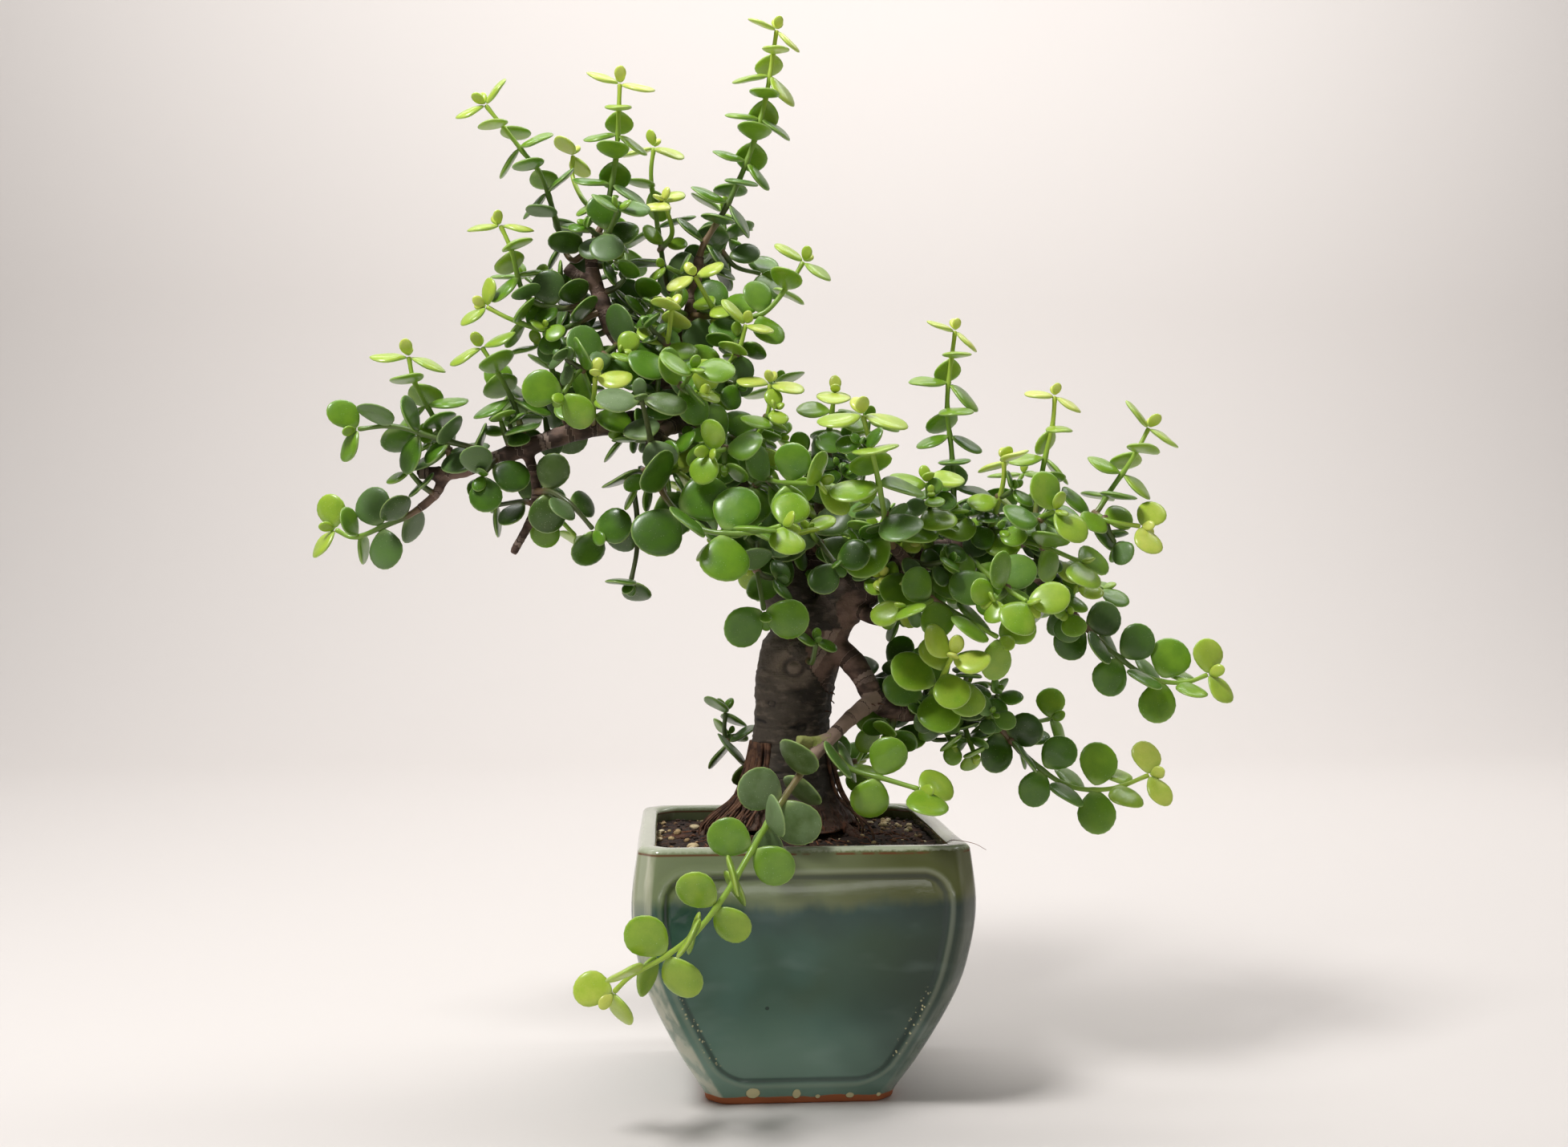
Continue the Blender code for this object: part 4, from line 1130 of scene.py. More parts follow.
def barkFinish():
    look = barkLook
    bark = Finish("jadeBark", Roughness=0.75)
    girth = bark.attribute("girth")
    along = bark.attribute("along")
    crack = bark.attribute("crack")
    height = bark.axis("Z")
    mottle = bark.cloud(11, 3)
    grain = bark.cloud(3, 4, (1.8, 1.8, 0.7))
    fine = bark.cloud(0.8, 4)
    # Real mottle plus painted shade: the bark darkens towards the right, away from the light
    facing = bark.axis("X") * 0.03 + (mottle - 0.5) * 1.6
    old = bark.blend(bark.between(facing, -0.42, 0.3) * 0.9, look["old"], look["oldDark"])
    old = bark.blend(bark.between(grain, 0.5, 0.72) * 0.36, old, look["oldPale"])
    scarred = bark.between(bark.attribute("scar") + (mottle - 0.5) * 0.4, 0.2, 0.6)
    old = bark.blend(scarred * 0.55, old, look["oldPale"])
    old = bark.blend(bark.between(fine, 0.52, 0.75) * 0.3, old, look["oldDark"])
    twig = bark.blend(bark.between(mottle + (grain - 0.5) * 0.4, 0.4, 0.62), look["twig"], look["twigDark"])
    # How far from the nearest ring that a pair of leaves has left
    phase = (along + fine * 0.5).maths("PINGPONG", woodForm["scarSpacing"] / 2)
    ring = 1 - bark.between(phase, 0.18, 0.6)
    twig = bark.blend(ring * 0.8, twig, look["twigDark"])
    twig = bark.blend(bark.band(phase, (0.45, 0.7), (0.9, 1.5)) * 0.5, twig, look["twigPale"])
    youth = bark.attribute("young")
    twig = bark.blend(bark.between(youth, 0.2, 0.9) * (1 - ring) * 0.75, twig, look["young"])
    fresh = bark.between(youth, 1.4, 1.9) * bark.between(along, 3, 7)
    twig = bark.blend(fresh * 0.8, twig, look["cutGreen"])
    colour = bark.blend(bark.between(girth, 4.5, 10), twig, old)
    rooty = (1 - bark.between(height + mottle * 10, 96, 108)) * bark.between(girth, 3, 5)
    threads = bark.between(bark.cloud(2.2, 4, (1, 1, 5)), 0.45, 0.6)
    colour = bark.blend(rooty * (threads * 0.5 + 0.35), colour, look["root"])
    colour = bark.blend(bark.between(crack, 0.25, 0.8) * 0.9, colour, look["crack"])
    bark.into("Base Color", colour)
    bark.relief(fine * 0.35 + grain * 0.7 + rooty * threads * 1.5 - ring * 0.35, 0.5)
    return bark


bark = barkFinish()
makeSoil(soilFinish())
makeGrains(gritFinish())
makeFibres(fibreFinish())
print("soil made")
makeWood(bark)
makeRoots(rootFinish())
print("wood made")


# Leafy shoots

# What each grows from, its leaf length, its pairs, the age at its tip and at its base, and its route.
# Age 0 is the yellow-green of a new leaf, 0.5 a full green, 0.8 dark green and 1 an old leaf with a
# grey bloom.
shoots = [
    ("leaderRight", "crownRight", 14, 11, 0.0, 0.72, [(-32, 7, 302), (-24, 5, 315), (-16, 3, 333),
         (-10, 3, 354), (-6, 2, 379)]),
    ("leaderMiddle", "leftLimb", 14, 7, 0.05, 0.75, [(-69, 3, 308), (-66, 3, 321), (-64, 3, 335),
         (-63, 2, 358)]),
    ("leaderLeft", "leftLimb", 14, 8, 0.15, 0.75, [(-82, 8, 296), (-91, 10, 324), (-99, 9, 335),
         (-112, 8, 351)]),
    ("crownLeft", "leftLimb", 14, 6, 0.12, 0.8, [(-83, -2, 275), (-96, -3, 279), (-101, -5, 295),
         (-105, -5, 304)]),
    ("crownFrontTip", "leftLimb", 14, 3, 0.02, 0.5, [(-46, -17, 260), (-44, -21, 272)]),
    ("crownEast", "crownRight", 15, 5, 0.2, 0.6, [(-26, -1, 273), (-12, -7, 273), (-2, -8, 284),
         (3, -8, 292)]),
    ("crownMidTip", "crownEast", 13, 2, 0.0, 0.4, [(-31, -5, 278), (-36, -9, 286)]),
    ("crownEastLow", "leftLimb", 14, 4, 0.15, 0.5, [(-29, -10, 250), (-21, -15, 258), (-18, -15, 268)]),
    ("crownBackTip", "leaderMiddle", 13, 2, 0.0, 0.5, [(-75, 12, 316), (-81, 21, 328), (-81, 21, 337)]),
    ("crownFrontUp", "leaderMiddle", 15, 3, 0.5, 0.8, [(-67, -9, 300), (-63, -18, 307)]),
    ("crownBackMid", "crownRight", 15, 5, 0.15, 0.8, [(-45, 18, 286), (-49, 24, 308), (-52, 26, 330),
         (-51, 26, 342)]),
    ("crownTopTip", "crownBackMid", 13, 2, 0.1, 0.5, [(-44, 10, 306), (-47, 2, 315)]),
    ("crownWest", "leftLimb", 14, 4, 0.1, 0.7, [(-86, -2, 267), (-100, -5, 270), (-110, -4, 275)]),
    ("crownWestBack", "leftLimb", 16, 3, 0.5, 0.85, [(-73, 19, 279), (-89, 36, 286), (-101, 45, 296)]),
    ("westBackLow", "crownWestBack", 16, 2, 0.6, 0.85, [(-78, 44, 275), (-84, 58, 269)]),
    ("crownBackRight", "crownRight", 15, 4, 0.4, 0.85, [(-31, 20, 296), (-24, 30, 307), (-25, 34, 320)]),
    ("crownEastBack", "crownBackRight", 15, 2, 0.5, 0.8, [(-20, 30, 298), (-10, 33, 296)]),
    ("crownFront", "leftLimb", 16, 5, 0.42, 0.75, [(-45, -21, 254), (-41, -35, 243), (-37, -45, 247)]),
    ("crownFrontWest", "leftLimb", 15, 4, 0.42, 0.7, [(-67, -15, 257), (-76, -25, 249), (-81, -28, 241)]),
    ("crownBack", "leftLimb", 16, 4, 0.5, 0.85, [(-58, 28, 276), (-61, 48, 295), (-63, 57, 311)]),
    ("crownBackLow", "crownBack", 16, 2, 0.6, 0.85, [(-44, 46, 280), (-31, 56, 286)]),
    ("westUpper", "leftBranch", 15, 4, 0.2, 0.75, [(-97, -9, 231), (-100, -9, 241), (-106, -8, 252),
         (-111, -8, 260)]),
    ("westTip", "leftBranch", 15, 5, 0.15, 0.65, [(-123, -4, 224), (-128, -5, 235), (-135, -4, 248),
         (-137, -4, 257)]),
    ("westFar", "leftBranch", 16, 5, 0.45, 0.75, [(-110, -12, 223), (-126, -15, 227), (-140, -14, 231),
         (-153, -13, 230)]),
    ("westLow", "lowTwig", 15, 4, 0.25, 0.72, [(-139, 0, 200), (-146, 0, 197), (-157, 3, 193),
         (-164, 4, 196)]),
    ("westFront", "leftBranch", 17, 2, 0.7, 0.95, [(-107, -16, 217), (-108, -28, 213)]),
    ("westDownFront", "downTwig", 16, 3, 0.7, 0.9, [(-85, -16, 208), (-78, -21, 203), (-71, -21, 195)]),
    ("westDownLeft", "downTwig", 15, 2, 0.7, 0.9, [(-98, 1, 206), (-108, 8, 205)]),
    ("westDownBack", "downTwig", 15, 2, 0.2, 0.6, [(-87, 4, 202), (-79, 10, 194)]),
    ("westInner", "leftBranch", 15, 4, 0.3, 0.85, [(-83, 0, 238), (-86, 2, 251), (-92, 7, 263)]),
    ("westBack", "westInner", 15, 3, 0.5, 0.85, [(-94, 18, 243), (-106, 32, 249)]),
    ("westInnerFront", "leftBranch", 15, 3, 0.05, 0.45, [(-71, -21, 238), (-70, -29, 247)]),
    ("frontHook", "frontLimb", 16, 3, 0.75, 0.8, [(-57, -24, 212), (-56, -22, 200), (-56, -22, 188),
         (-58, -24, 177)]),
    ("frontSweep", "frontLimb", 18, 6, 0.3, 0.68, [(-46, -39, 205), (-39, -43, 197), (-30, -48, 193),
         (-17, -51, 193), (-8, -54, 195)]),
    ("frontGrey", "frontLimb", 17, 2, 0.95, 1.0, [(-52, -36, 229), (-54, -45, 237)]),
    ("midUp", "leftLimb", 15, 4, 0.1, 0.6, [(-18, -11, 224), (-11, -21, 234), (-10, -23, 246)]),
    ("midTips", "midUp", 15, 4, 0.3, 0.6, [(-25, -16, 228), (-26, -34, 222), (-31, -44, 220)]),
    ("midRight", "middleLimb", 15, 3, 0.1, 0.6, [(14, 7, 235), (15, 1, 246)]),
    ("midFront", "leftLimb", 16, 5, 0.34, 0.62, [(-13, -25, 212), (-7, -42, 210), (4, -54, 209)]),
    ("midDrop", "leftLimb", 17, 4, 0.6, 0.75, [(-15, -22, 190), (-15, -35, 180), (-13, -39, 167)]),
    ("midLow", "middleLimb", 16, 4, 0.75, 0.95, [(5, -14, 195), (7, -30, 190), (11, -41, 183)]),
    ("midBack", "leftLimb", 16, 3, 0.4, 0.8, [(-13, 23, 221), (-8, 41, 239), (-4, 50, 255)]),
    ("trunkSprig", "trunk", 11, 1, 0.55, 0.7, [(5, -20, 149), (6, -24, 156)]),
    ("eastLeader", "rightLimb", 14, 9, 0.05, 0.78, [(60, 4, 203), (59, 6, 225), (57, 4, 244), (60, 4, 270)]),
    ("eastSecond", "rightLimb", 14, 5, 0.02, 0.5, [(88, -4, 202), (91, -3, 219), (94, -5, 234),
         (95, -5, 245)]),
    ("eastFar", "rightLimb", 15, 5, 0.15, 0.5, [(109, -8, 202), (115, -8, 211), (122, -11, 222),
         (128, -11, 233)]),
    ("eastOut", "eastFar", 14, 2, 0.1, 0.5, [(112, -14, 199), (123, -17, 197)]),
    ("eastTips", "rightLimb", 14, 3, 0.0, 0.4, [(69, -19, 198), (71, -27, 211), (71, -29, 219)]),
    ("eastFront", "frontRight", 18, 5, 0.14, 0.52, [(27, -48, 197), (23, -56, 212), (18, -59, 231)]),
    ("eastFrontUp", "rightLimb", 16, 4, 0.26, 0.5, [(46, -25, 194), (43, -35, 211)]),
    ("eastFrontLow", "rightLimb", 17, 5, 0.3, 0.55, [(61, -26, 184), (65, -43, 177), (73, -55, 170)]),
    ("eastInner", "rightLimb", 16, 3, 0.34, 0.52, [(78, -20, 192), (86, -28, 189), (97, -31, 184)]),
    ("eastInnerUp", "eastInner", 17, 3, 0.3, 0.6, [(82, -33, 198), (86, -40, 201)]),
    ("eastDropFront", "rightLimb", 16, 4, 0.32, 0.55, [(43, -25, 179), (44, -39, 171), (34, -47, 168)]),
    ("eastDropMid", "eastDropFront", 17, 3, 0.3, 0.6, [(54, -40, 165), (66, -43, 158)]),
    ("eastDrop", "rightTwig", 16, 7, 0.2, 0.75, [(106, -4, 161), (115, -8, 152), (127, -11, 143),
         (139, -14, 141), (148, -15, 144)]),
    ("backCenter", "backLimb", 16, 4, 0.4, 0.8, [(29, 48, 211), (33, 52, 227), (34, 52, 242)]),
    ("backMid", "backCenter", 16, 2, 0.5, 0.8, [(20, 58, 215), (12, 66, 227)]),
    ("backEast", "rightLimb", 16, 3, 0.3, 0.6, [(71, 11, 197), (83, 28, 207), (93, 38, 220)]),
    ("backEastLow", "rightTwig", 16, 3, 0.4, 0.8, [(91, 12, 185), (107, 26, 179), (123, 33, 175)]),
    ("lowBack", "backLimb", 16, 3, 0.5, 0.8, [(29, 46, 186), (43, 55, 176), (56, 58, 167)]),
    ("backDrop", "lowBack", 15, 2, 0.5, 0.8, [(20, 57, 178), (8, 62, 170)]),
    ("lowInner", "lowBranch", 15, 3, 0.6, 0.85, [(29, 0, 142), (38, 9, 145), (51, 14, 145)]),
    ("lowFront", "lowBranch", 17, 5, 0.1, 0.46, [(46, -21, 137), (47, -37, 143), (49, -49, 152)]),
    ("lowMid", "lowBranch", 15, 2, 0.5, 0.75, [(46, -5, 127), (51, 0, 120), (65, 3, 121)]),
    ("lowEast", "lowBranch", 16, 7, 0.1, 0.72, [(75, -4, 124), (84, -6, 114), (98, -9, 104),
         (113, -12, 103), (127, -13, 108)]),
    ("lowEastBack", "lowEast", 14, 2, 0.4, 0.7, [(86, 8, 124), (98, 16, 126)]),
    ("trunkLeft", "trunk", 15, 3, 0.6, 0.75, [(-18, 13, 111), (-24, 20, 119), (-24, 20, 129)]),
    ("trunkBack", "trunk", 15, 3, 0.25, 0.5, [(20, 19, 106), (27, 26, 111), (31, 28, 120)]),
    ("hangSide", "hangBranch", 17, 3, 0.3, 0.55, [(16, -39, 114), (27, -44, 111), (38, -49, 108)]),
    ("hangFront", "hangBranch", 16, 10, 0.16, 0.42, [(-3, -52, 112), (-11, -59, 102), (-19, -69, 91),
         (-27, -74, 79), (-36, -76, 68), (-46, -75, 60), (-56, -72, 54), (-62, -70, 48)]),
]

stemForm = {
    "radii": (1.3, 0.85),
    "routeStep": 13.0,
    "ringStep": 1.6,
    "sprigRingStep": 3.2,
    "sides": 8,
    "nodeSwell": 0.32,
    "nodeReach": 1.1,
    "sunk": 1.6,
    "touchGap": 0.3,
    "clearance": 0.05,
    "firstStep": 2.5,
    "firstPair": 4.5,
    "tipInset": 0.4,
}

leafForm = {
    "seed": 36,
    "sizes": (0.9, 1.08),
    "widths": (0.86, 0.98),
    "tipSizes": {0: 0.88, 1: 0.92},
    "rise": (0, 20),
    "tipRise": 18,
    "riseDifference": 7,
    "shadeDroop": 62,
    "windowSide": Vector((-0.5, -0.85, 0)).normalized(),
    "levelTurn": 0.5,
    "pairTurn": 0.25,
    "light": Vector((-0.1, -0.65, 0.75)).normalized(),
    "lightPull": (0.48, 0.38),
    # The plain test blade that finds a clear place, as the solids have it
    "testOutline": [(0.24, 0.40), (0.63, 0.50), (0.95, 0.27)],
    "testKeel": 0.58,
    "testEdge": 0.25,
    "testRoot": 2.6,
    "testThickness": 2.1,
    "room": 0.4,
    # Turns, rises and sizes that it tries in order
    "tries": [(0, 0, 1), (0, 18, 1), (0, -18, 1), (25, 8, 0.92), (-25, 8, 0.92), (40, 25, 0.8),
              (-40, 25, 0.8), (0, 35, 0.7)],
    # The finished blade
    "finishSeed": 1000,
    "segments": 10,
    "rings": 6,
    "swollen": 1.06,
    "thickness": 2.6,
    "aboveShare": 0.55,
    "dome": (0.9, 0.6),
    "fullWidth": 1.04,
    "baseWidth": 0.36,
    "neck": 0.44,
    "cup": (-0.07, 0.05),
    "recurve": (-0.26, 0.04),
    "sway": 0.08,
    "budSize": 0.42,
    # Pairs at the base of a shoot that have the grey bloom of old leaves
    "greyPairs": {"hangFront": 3},
}


class Shoot:
    def __init__(self, name, parent, leaf, pairs, tipAge, baseAge, points):
        self.name = name
        self.parent = parent
        self.leaf = leaf
        self.pairs = pairs
        self.ages = (tipAge, baseAge)
        self.points = [Vector(point) for point in points]
        self.route = []
        self.leaves = []


def nearestOn(route, point):
    spots = []
    for a, b in zip(route, route[1:]):
        t = max(0, min(1, (point - a).dot(b - a) / (b - a).length_squared))
        spots.append(a + (b - a) * t)
    return min(spots, key=lambda spot: (point - spot).length)


def barkPoint(barkTree, spot, point):
    # Where a stem's end lies a touch gap off the bark, on the line from a limb's middle to a point.
    way = (point - spot).normalized()
    across = way.orthogonal().normalized()
    thick = stemForm["radii"][0]
    disc = [across * radius for radius in (0, thick / 2, thick + stemForm["clearance"])]
    disc = [Matrix.Rotation(math.pi / 6 * turn, 3, way) @ offset for offset in disc for turn in range(12)]
    start = barkTree.ray_cast(point + way * 5, -way)[0] + way * 2 * thick
    for _ in range(8):
        gap = min(barkTree.find_nearest(start + offset)[3] for offset in disc)
        start -= way * (gap - stemForm["touchGap"])
    return start


def routeShoots():
    barkTree = BVHTree.FromBMesh(inMillimetres("trunk"))
    carriers = {"trunk": [Vector(point) for point in trunk["points"]]}
    for name, (points, _, _) in limbs.items():
        carriers[name] = smoothRoute(points, 15)
    routed = {}
    for entry in shoots:
        shoot = Shoot(*entry)
        if shoot.parent in routed:
            start = nearestOn(routed[shoot.parent].route, shoot.points[0])
        else:
            start = barkPoint(barkTree, nearestOn(carriers[shoot.parent], shoot.points[0]), shoot.points[0])
        if (shoot.points[0] - start).length < stemForm["firstStep"]:
            del shoot.points[0]
        shoot.points.insert(0, start)
        shoot.route = smoothRoute(shoot.points, stemForm["routeStep"])
        routed[shoot.name] = shoot
    return routed


def alongRoute(route, distance):
    ways = carriedFrames(route)
    for index, (a, b) in enumerate(zip(route, route[1:])):
        span = (b - a).length
        if distance <= span:
            share = distance / span
            way = ways[index][0].lerp(ways[index + 1][0], share).normalized()
            side = ways[index][1].lerp(ways[index + 1][1], share)
            return a + (b - a) * share, way, (side - way * side.dot(way)).normalized()
        distance -= span
    return (route[-1], *ways[-1])


def pairPlaces(shoot):
    # Distance along the stem of each pair of leaves, counted back from the tip.
    last = routeLengths(shoot.route)[-1] - stemForm["tipInset"]
    step = (last - stemForm["firstPair"]) / max(1, shoot.pairs - 1)
    return [last - back * step for back in range(shoot.pairs)]


def leafSpots(shoot, draw):
    form = leafForm
    quarter = draw.choice((0, 1)) if shoot.pairs < 4 else 0
    places = pairPlaces(shoot)
    for back in reversed(range(shoot.pairs)):
        spot, way, side = alongRoute(shoot.route, places[back])
        size = shoot.leaf * form["tipSizes"].get(back, 1) * draw.uniform(*form["sizes"])
        spreads = (back + quarter) % 2 == 0
        quarterTurn = -math.pi / 2 * (form["levelTurn"] + (1 - form["levelTurn"]) * abs(way.z))
        turn = (0 if spreads else quarterTurn) + draw.uniform(-form["pairTurn"], form["pairTurn"])
        rise = draw.uniform(*form["rise"])
        if back == 0:
            rise += form["tipRise"]
        for half in (0, 1):
            ownTurn = turn + half * math.pi
            shade = 0.5 - 0.5 * squareOut(way, side, ownTurn).dot(form["windowSide"])
            droop = form["shadeDroop"] * shade * max(0, way.z) ** 2
            ownRise = rise - droop + draw.uniform(-form["riseDifference"], form["riseDifference"])
            yield back, spot, way, side, ownTurn, ownRise, size


def squareOut(way, side, turn):
    return side * math.cos(turn) + way.cross(side) * math.sin(turn)


def leafPlace(spot, way, side, turn, rise, facing):
    around = squareOut(way, side, turn)
    out = (around * math.cos(rise) + way * math.sin(rise)).normalized()
    upper = way * (1 - facing) + leafForm["light"] * facing
    upper = upper - out * upper.dot(out)
    if upper.length < 0.2:
        upper = way - out * way.dot(out)
    upper.normalize()
    turned = Matrix((out, upper.cross(out), upper)).transposed().to_4x4()
    return Matrix.Translation(spot) @ turned


def testBlade(length, width, thickness):
    form = leafForm
    bm = bmesh.new()
    edge = form["testEdge"] * thickness
    root = bm.verts.new((form["testRoot"], 0, 0))
    left = [bm.verts.new((x * length, y * width, edge)) for x, y in form["testOutline"]]
    right = [bm.verts.new((x * length, -y * width, edge)) for x, y in reversed(form["testOutline"])]
    keel = bm.verts.new((form["testKeel"] * length, 0, edge - thickness))
    rim = [root] + left + right
    for a, b in zip(rim, rim[1:] + rim[:1]):
        bm.faces.new((b, keel, a))
    bm.faces.new(rim)
    return bm


class Crowd:
    # What already stands in the way, each with its box for a quick first test.
    def __init__(self):
        self.items = []

    def box(self, bm):
        corners = list(zip(*(vert.co for vert in bm.verts)))
        return [min(values) for values in corners], [max(values) for values in corners]

    def add(self, owner, bm):
        self.items.append((owner, self.box(bm), BVHTree.FromBMesh(bm)))

    def meets(self, bm, own):
        low, high = self.box(bm)
        tree = BVHTree.FromBMesh(bm)
        for owner, (otherLow, otherHigh), other in self.items:
            apart = any(low[i] > otherHigh[i] or high[i] < otherLow[i] for i in range(3))
            if owner != own and not apart and tree.overlap(other):
                return True
        return False


def coarseStem(route):
    bm = bmesh.new()
    tube(bm, route, tapered(routeLengths(route), *stemForm["radii"]), 3)
    return bm


def placeLeaves(routed):
    # The same seeded rule that places the solids' leaves, so each finished leaf stands where its solid does.
    form = leafForm
    crowd = Crowd()
    for node in ("pot", "drain_screen", "soil", "trunk"):
        crowd.add(node, inMillimetres(node))
    for shoot in routed.values():
        crowd.add("stem " + shoot.name, coarseStem(shoot.route))
    for number, shoot in enumerate(routed.values()):
        placeOnStem(crowd, shoot, random.Random(form["seed"] + number))
    return crowd


def placeOnStem(crowd, shoot, draw, pull=leafForm["lightPull"]):
    form = leafForm
    for back, spot, way, side, turn, rise, size in leafSpots(shoot, draw):
        facing = pull[0] + pull[1] * (1 - abs(way.z))
        width = size * draw.uniform(*form["widths"])
        for turned, raised, smaller in form["tries"]:
            angles = (turn + math.radians(turned), math.radians(rise + raised))
            place = leafPlace(spot, way, side, *angles, facing)
            trial = testBlade(size * smaller + form["room"], width * smaller + 2 * form["room"],
                              form["testThickness"] + 2 * form["room"])
            bmesh.ops.transform(trial, matrix=place, verts=trial.verts[:])
            if not crowd.meets(trial, "stem " + shoot.name):
                shoot.leaves.append((back, place, size * smaller, width * smaller))
                crowd.add("leaf", trial)
                break


def addLeaf(bm, place, length, width, age, draw):
    # A ball pressed into a thick round blade: narrow at the root, full at the tip, flatter above than below.
    form = leafForm
    blade = bmesh.new()
    layers = leafLayers(blade)
    tone = draw.random()
    cup = draw.uniform(*form["cup"])
    curve = draw.uniform(*form["recurve"])
    sway = draw.uniform(-form["sway"], form["sway"])
    wave = draw.uniform(0, math.tau)
    thickness = form["thickness"] * (0.7 + 0.3 * min(1, length / 15))
    bmesh.ops.create_uvsphere(blade, u_segments=form["segments"], v_segments=form["rings"], radius=1)
    bmesh.ops.dissolve_verts(blade, verts=[vert for vert in blade.verts if abs(vert.co.z) > 0.99])
    for vert in blade.verts:
        x, y, z = vert.co
        reach = math.hypot(x, y)
        t = (x + 1) / 2
        narrowing = max(0, 1 - t / form["neck"]) ** 1.6
        fullness = form["fullWidth"] - (form["fullWidth"] - form["baseWidth"]) * narrowing
        deep = math.copysign(abs(z) ** form["dome"][z < 0], z) if abs(z) > 0.01 else 0
        share = form["aboveShare"] if z > 0 else 1 - form["aboveShare"]
        plump = 0.75 + 0.25 * math.sin(math.pi * min(1, t * 1.2))
        along = (0.5 + 0.5 * x * form["swollen"]) * length
        across = y * width / 2 * form["swollen"] * fullness
        ripple = 0.02 * width * math.sin(3 * math.atan2(y, x) + wave) * reach
        lift = deep * thickness * share * plump
        lift += cup * width * (2 * across / width) ** 2 + curve * length * t * t * 0.5 + ripple
        vert.co = place @ Vector((along + 0.3, across + sway * length * t * t, lift))
        vert[layers["age"]] = age
        vert[layers["tone"]] = tone
        vert[layers["margin"]] = reach
        vert[layers["root"]] = 1 - easeIn(t, 0.0, 0.3)
    pour(bm, blade)


def stemRings(shoot, step):
    # The stem's fine route, sunk into the bark at its start, and its radii with a knuckle at each pair.
    form = stemForm
    route = smoothRoute(shoot.points, step)
    start = route[0] - (route[1] - route[0]).normalized() * form["sunk"]
    route.insert(0, start)
    lengths = routeLengths(route)
    radii = []
    for length, radius in zip(lengths, tapered(lengths, *form["radii"])):
        away = min(abs(length - form["sunk"] - place) for place in pairPlaces(shoot))
        knuckle = math.exp(-(away / form["nodeReach"]) ** 2)
        collar = math.exp(-(length / 1.8) ** 2)
        radii.append(radius * (1 + form["nodeSwell"] * knuckle + 0.35 * collar))
    return route, lengths, radii


def addStem(bm, shoot, step):
    stem = bmesh.new()
    layers = leafLayers(stem)
    route, lengths, radii = stemRings(shoot, step)
    rings = tube(stem, route, radii, stemForm["sides"])
    young, old = shoot.ages
    for ring, length in zip(rings, lengths):
        back = 1 - length / lengths[-1]
        for vert in ring:
            vert[layers["age"]] = young + (old - young) * back
            vert[layers["tone"]] = 0.5
            vert[layers["stem"]] = 1
            vert[layers["root"]] = easeIn(back, 0.55, 1.0)
    pour(bm, stem)


def leafAge(shoot, back, draw):
    young, old = shoot.ages
    if shoot.pairs - back <= leafForm["greyPairs"].get(shoot.name, 0):
        return draw.uniform(0.94, 1)
    share = min(1, back / max(2, shoot.pairs - 1)) ** 0.7
    return max(0, min(1, young + (old - young) * share + draw.uniform(-0.06, 0.06)))


sprigForm = {
    "seed": 400,
    "lightPull": (0.2, 0.35),
    "lengths": (7, 17),
    "leaves": (9.5, 13),
    "perPair": 5.0,
    "step": 5.0,
    "leastLeaves": 2,
    # For each piece: the limbs with the part of their length that its sprigs grow on, how many times it is
    # gone along, how far down a sprig may start, and the share of leaf pairs on its shoots with a sprig.
    # The trunk itself carries none, only its shoots do.
    "regions": {
        "crown": ({"leftLimb": (0.5, 0.97), "crownRight": (0.1, 0.95), "crownStub": (0.3, 0.9)},
                  2, -0.5, 0.5),
        "west": ({"leftBranch": (0.1, 0.85), "lowTwig": (0.3, 0.6)}, 3, 0.45, 0.5),
        "middle": ({"middleLimb": (0.15, 1), "leftLimb": (0.14, 0.5), "frontLimb": (0.25, 1),
                    "backLimb": (0.3, 1)}, 3, -0.5, 0.5),
        "east": ({"rightLimb": (0.22, 0.98), "frontRight": (0.2, 1), "rightTwig": (0.15, 0.95)},
                 2, -0.5, 0.5),
        "low": ({"lowBranch": (0.52, 1), "rightLimb": (0.3, 0.85), "trunk": None}, 4, -1, 1),
    },
    "axilLengths": (5, 11),
    # Shoots without side sprigs
    "bareShoots": {"leaderRight", "leaderMiddle", "leaderLeft", "eastLeader", "hangFront", "frontGrey",
                   "trunkSprig", "eastSecond", "eastDrop", "lowEast", "crownLeft", "westFar", "westLow",
                   "hangSide", "frontHook", "crownEast", "eastFar", "lowFront"},
}


def tryPlacing(crowd, name, carrier, base, out, length, draw):
    # A sprig that starts at base inside its carrier and bends up, or None where it would meet something.
    form = sprigForm
    rising = (out + up * draw.uniform(0.2, 1.0)).normalized()
    points = [base, base + out * length * 0.45, base + out * length * 0.5 + rising * length * 0.5]
    pairs = max(1, round(length / form["perPair"]))
    # Older, darker leaves: partly the real age of leaves inside the crown, partly painted shade there
    old = draw.uniform(0.55, 0.85)
    leaf = draw.uniform(*form["leaves"])
    sprig = Shoot(name, carrier, leaf, pairs, old - draw.uniform(0.05, 0.5), old, points)
    sprig.route = smoothRoute(points, 5)
    if crowd.meets(coarseStem(sprig.route), carrier):
        return None
    placeOnStem(crowd, sprig, draw, form["lightPull"])
    if len(sprig.leaves) < form["leastLeaves"]:
        return None
    crowd.add("stem " + name, coarseStem(sprig.route))
    return sprig


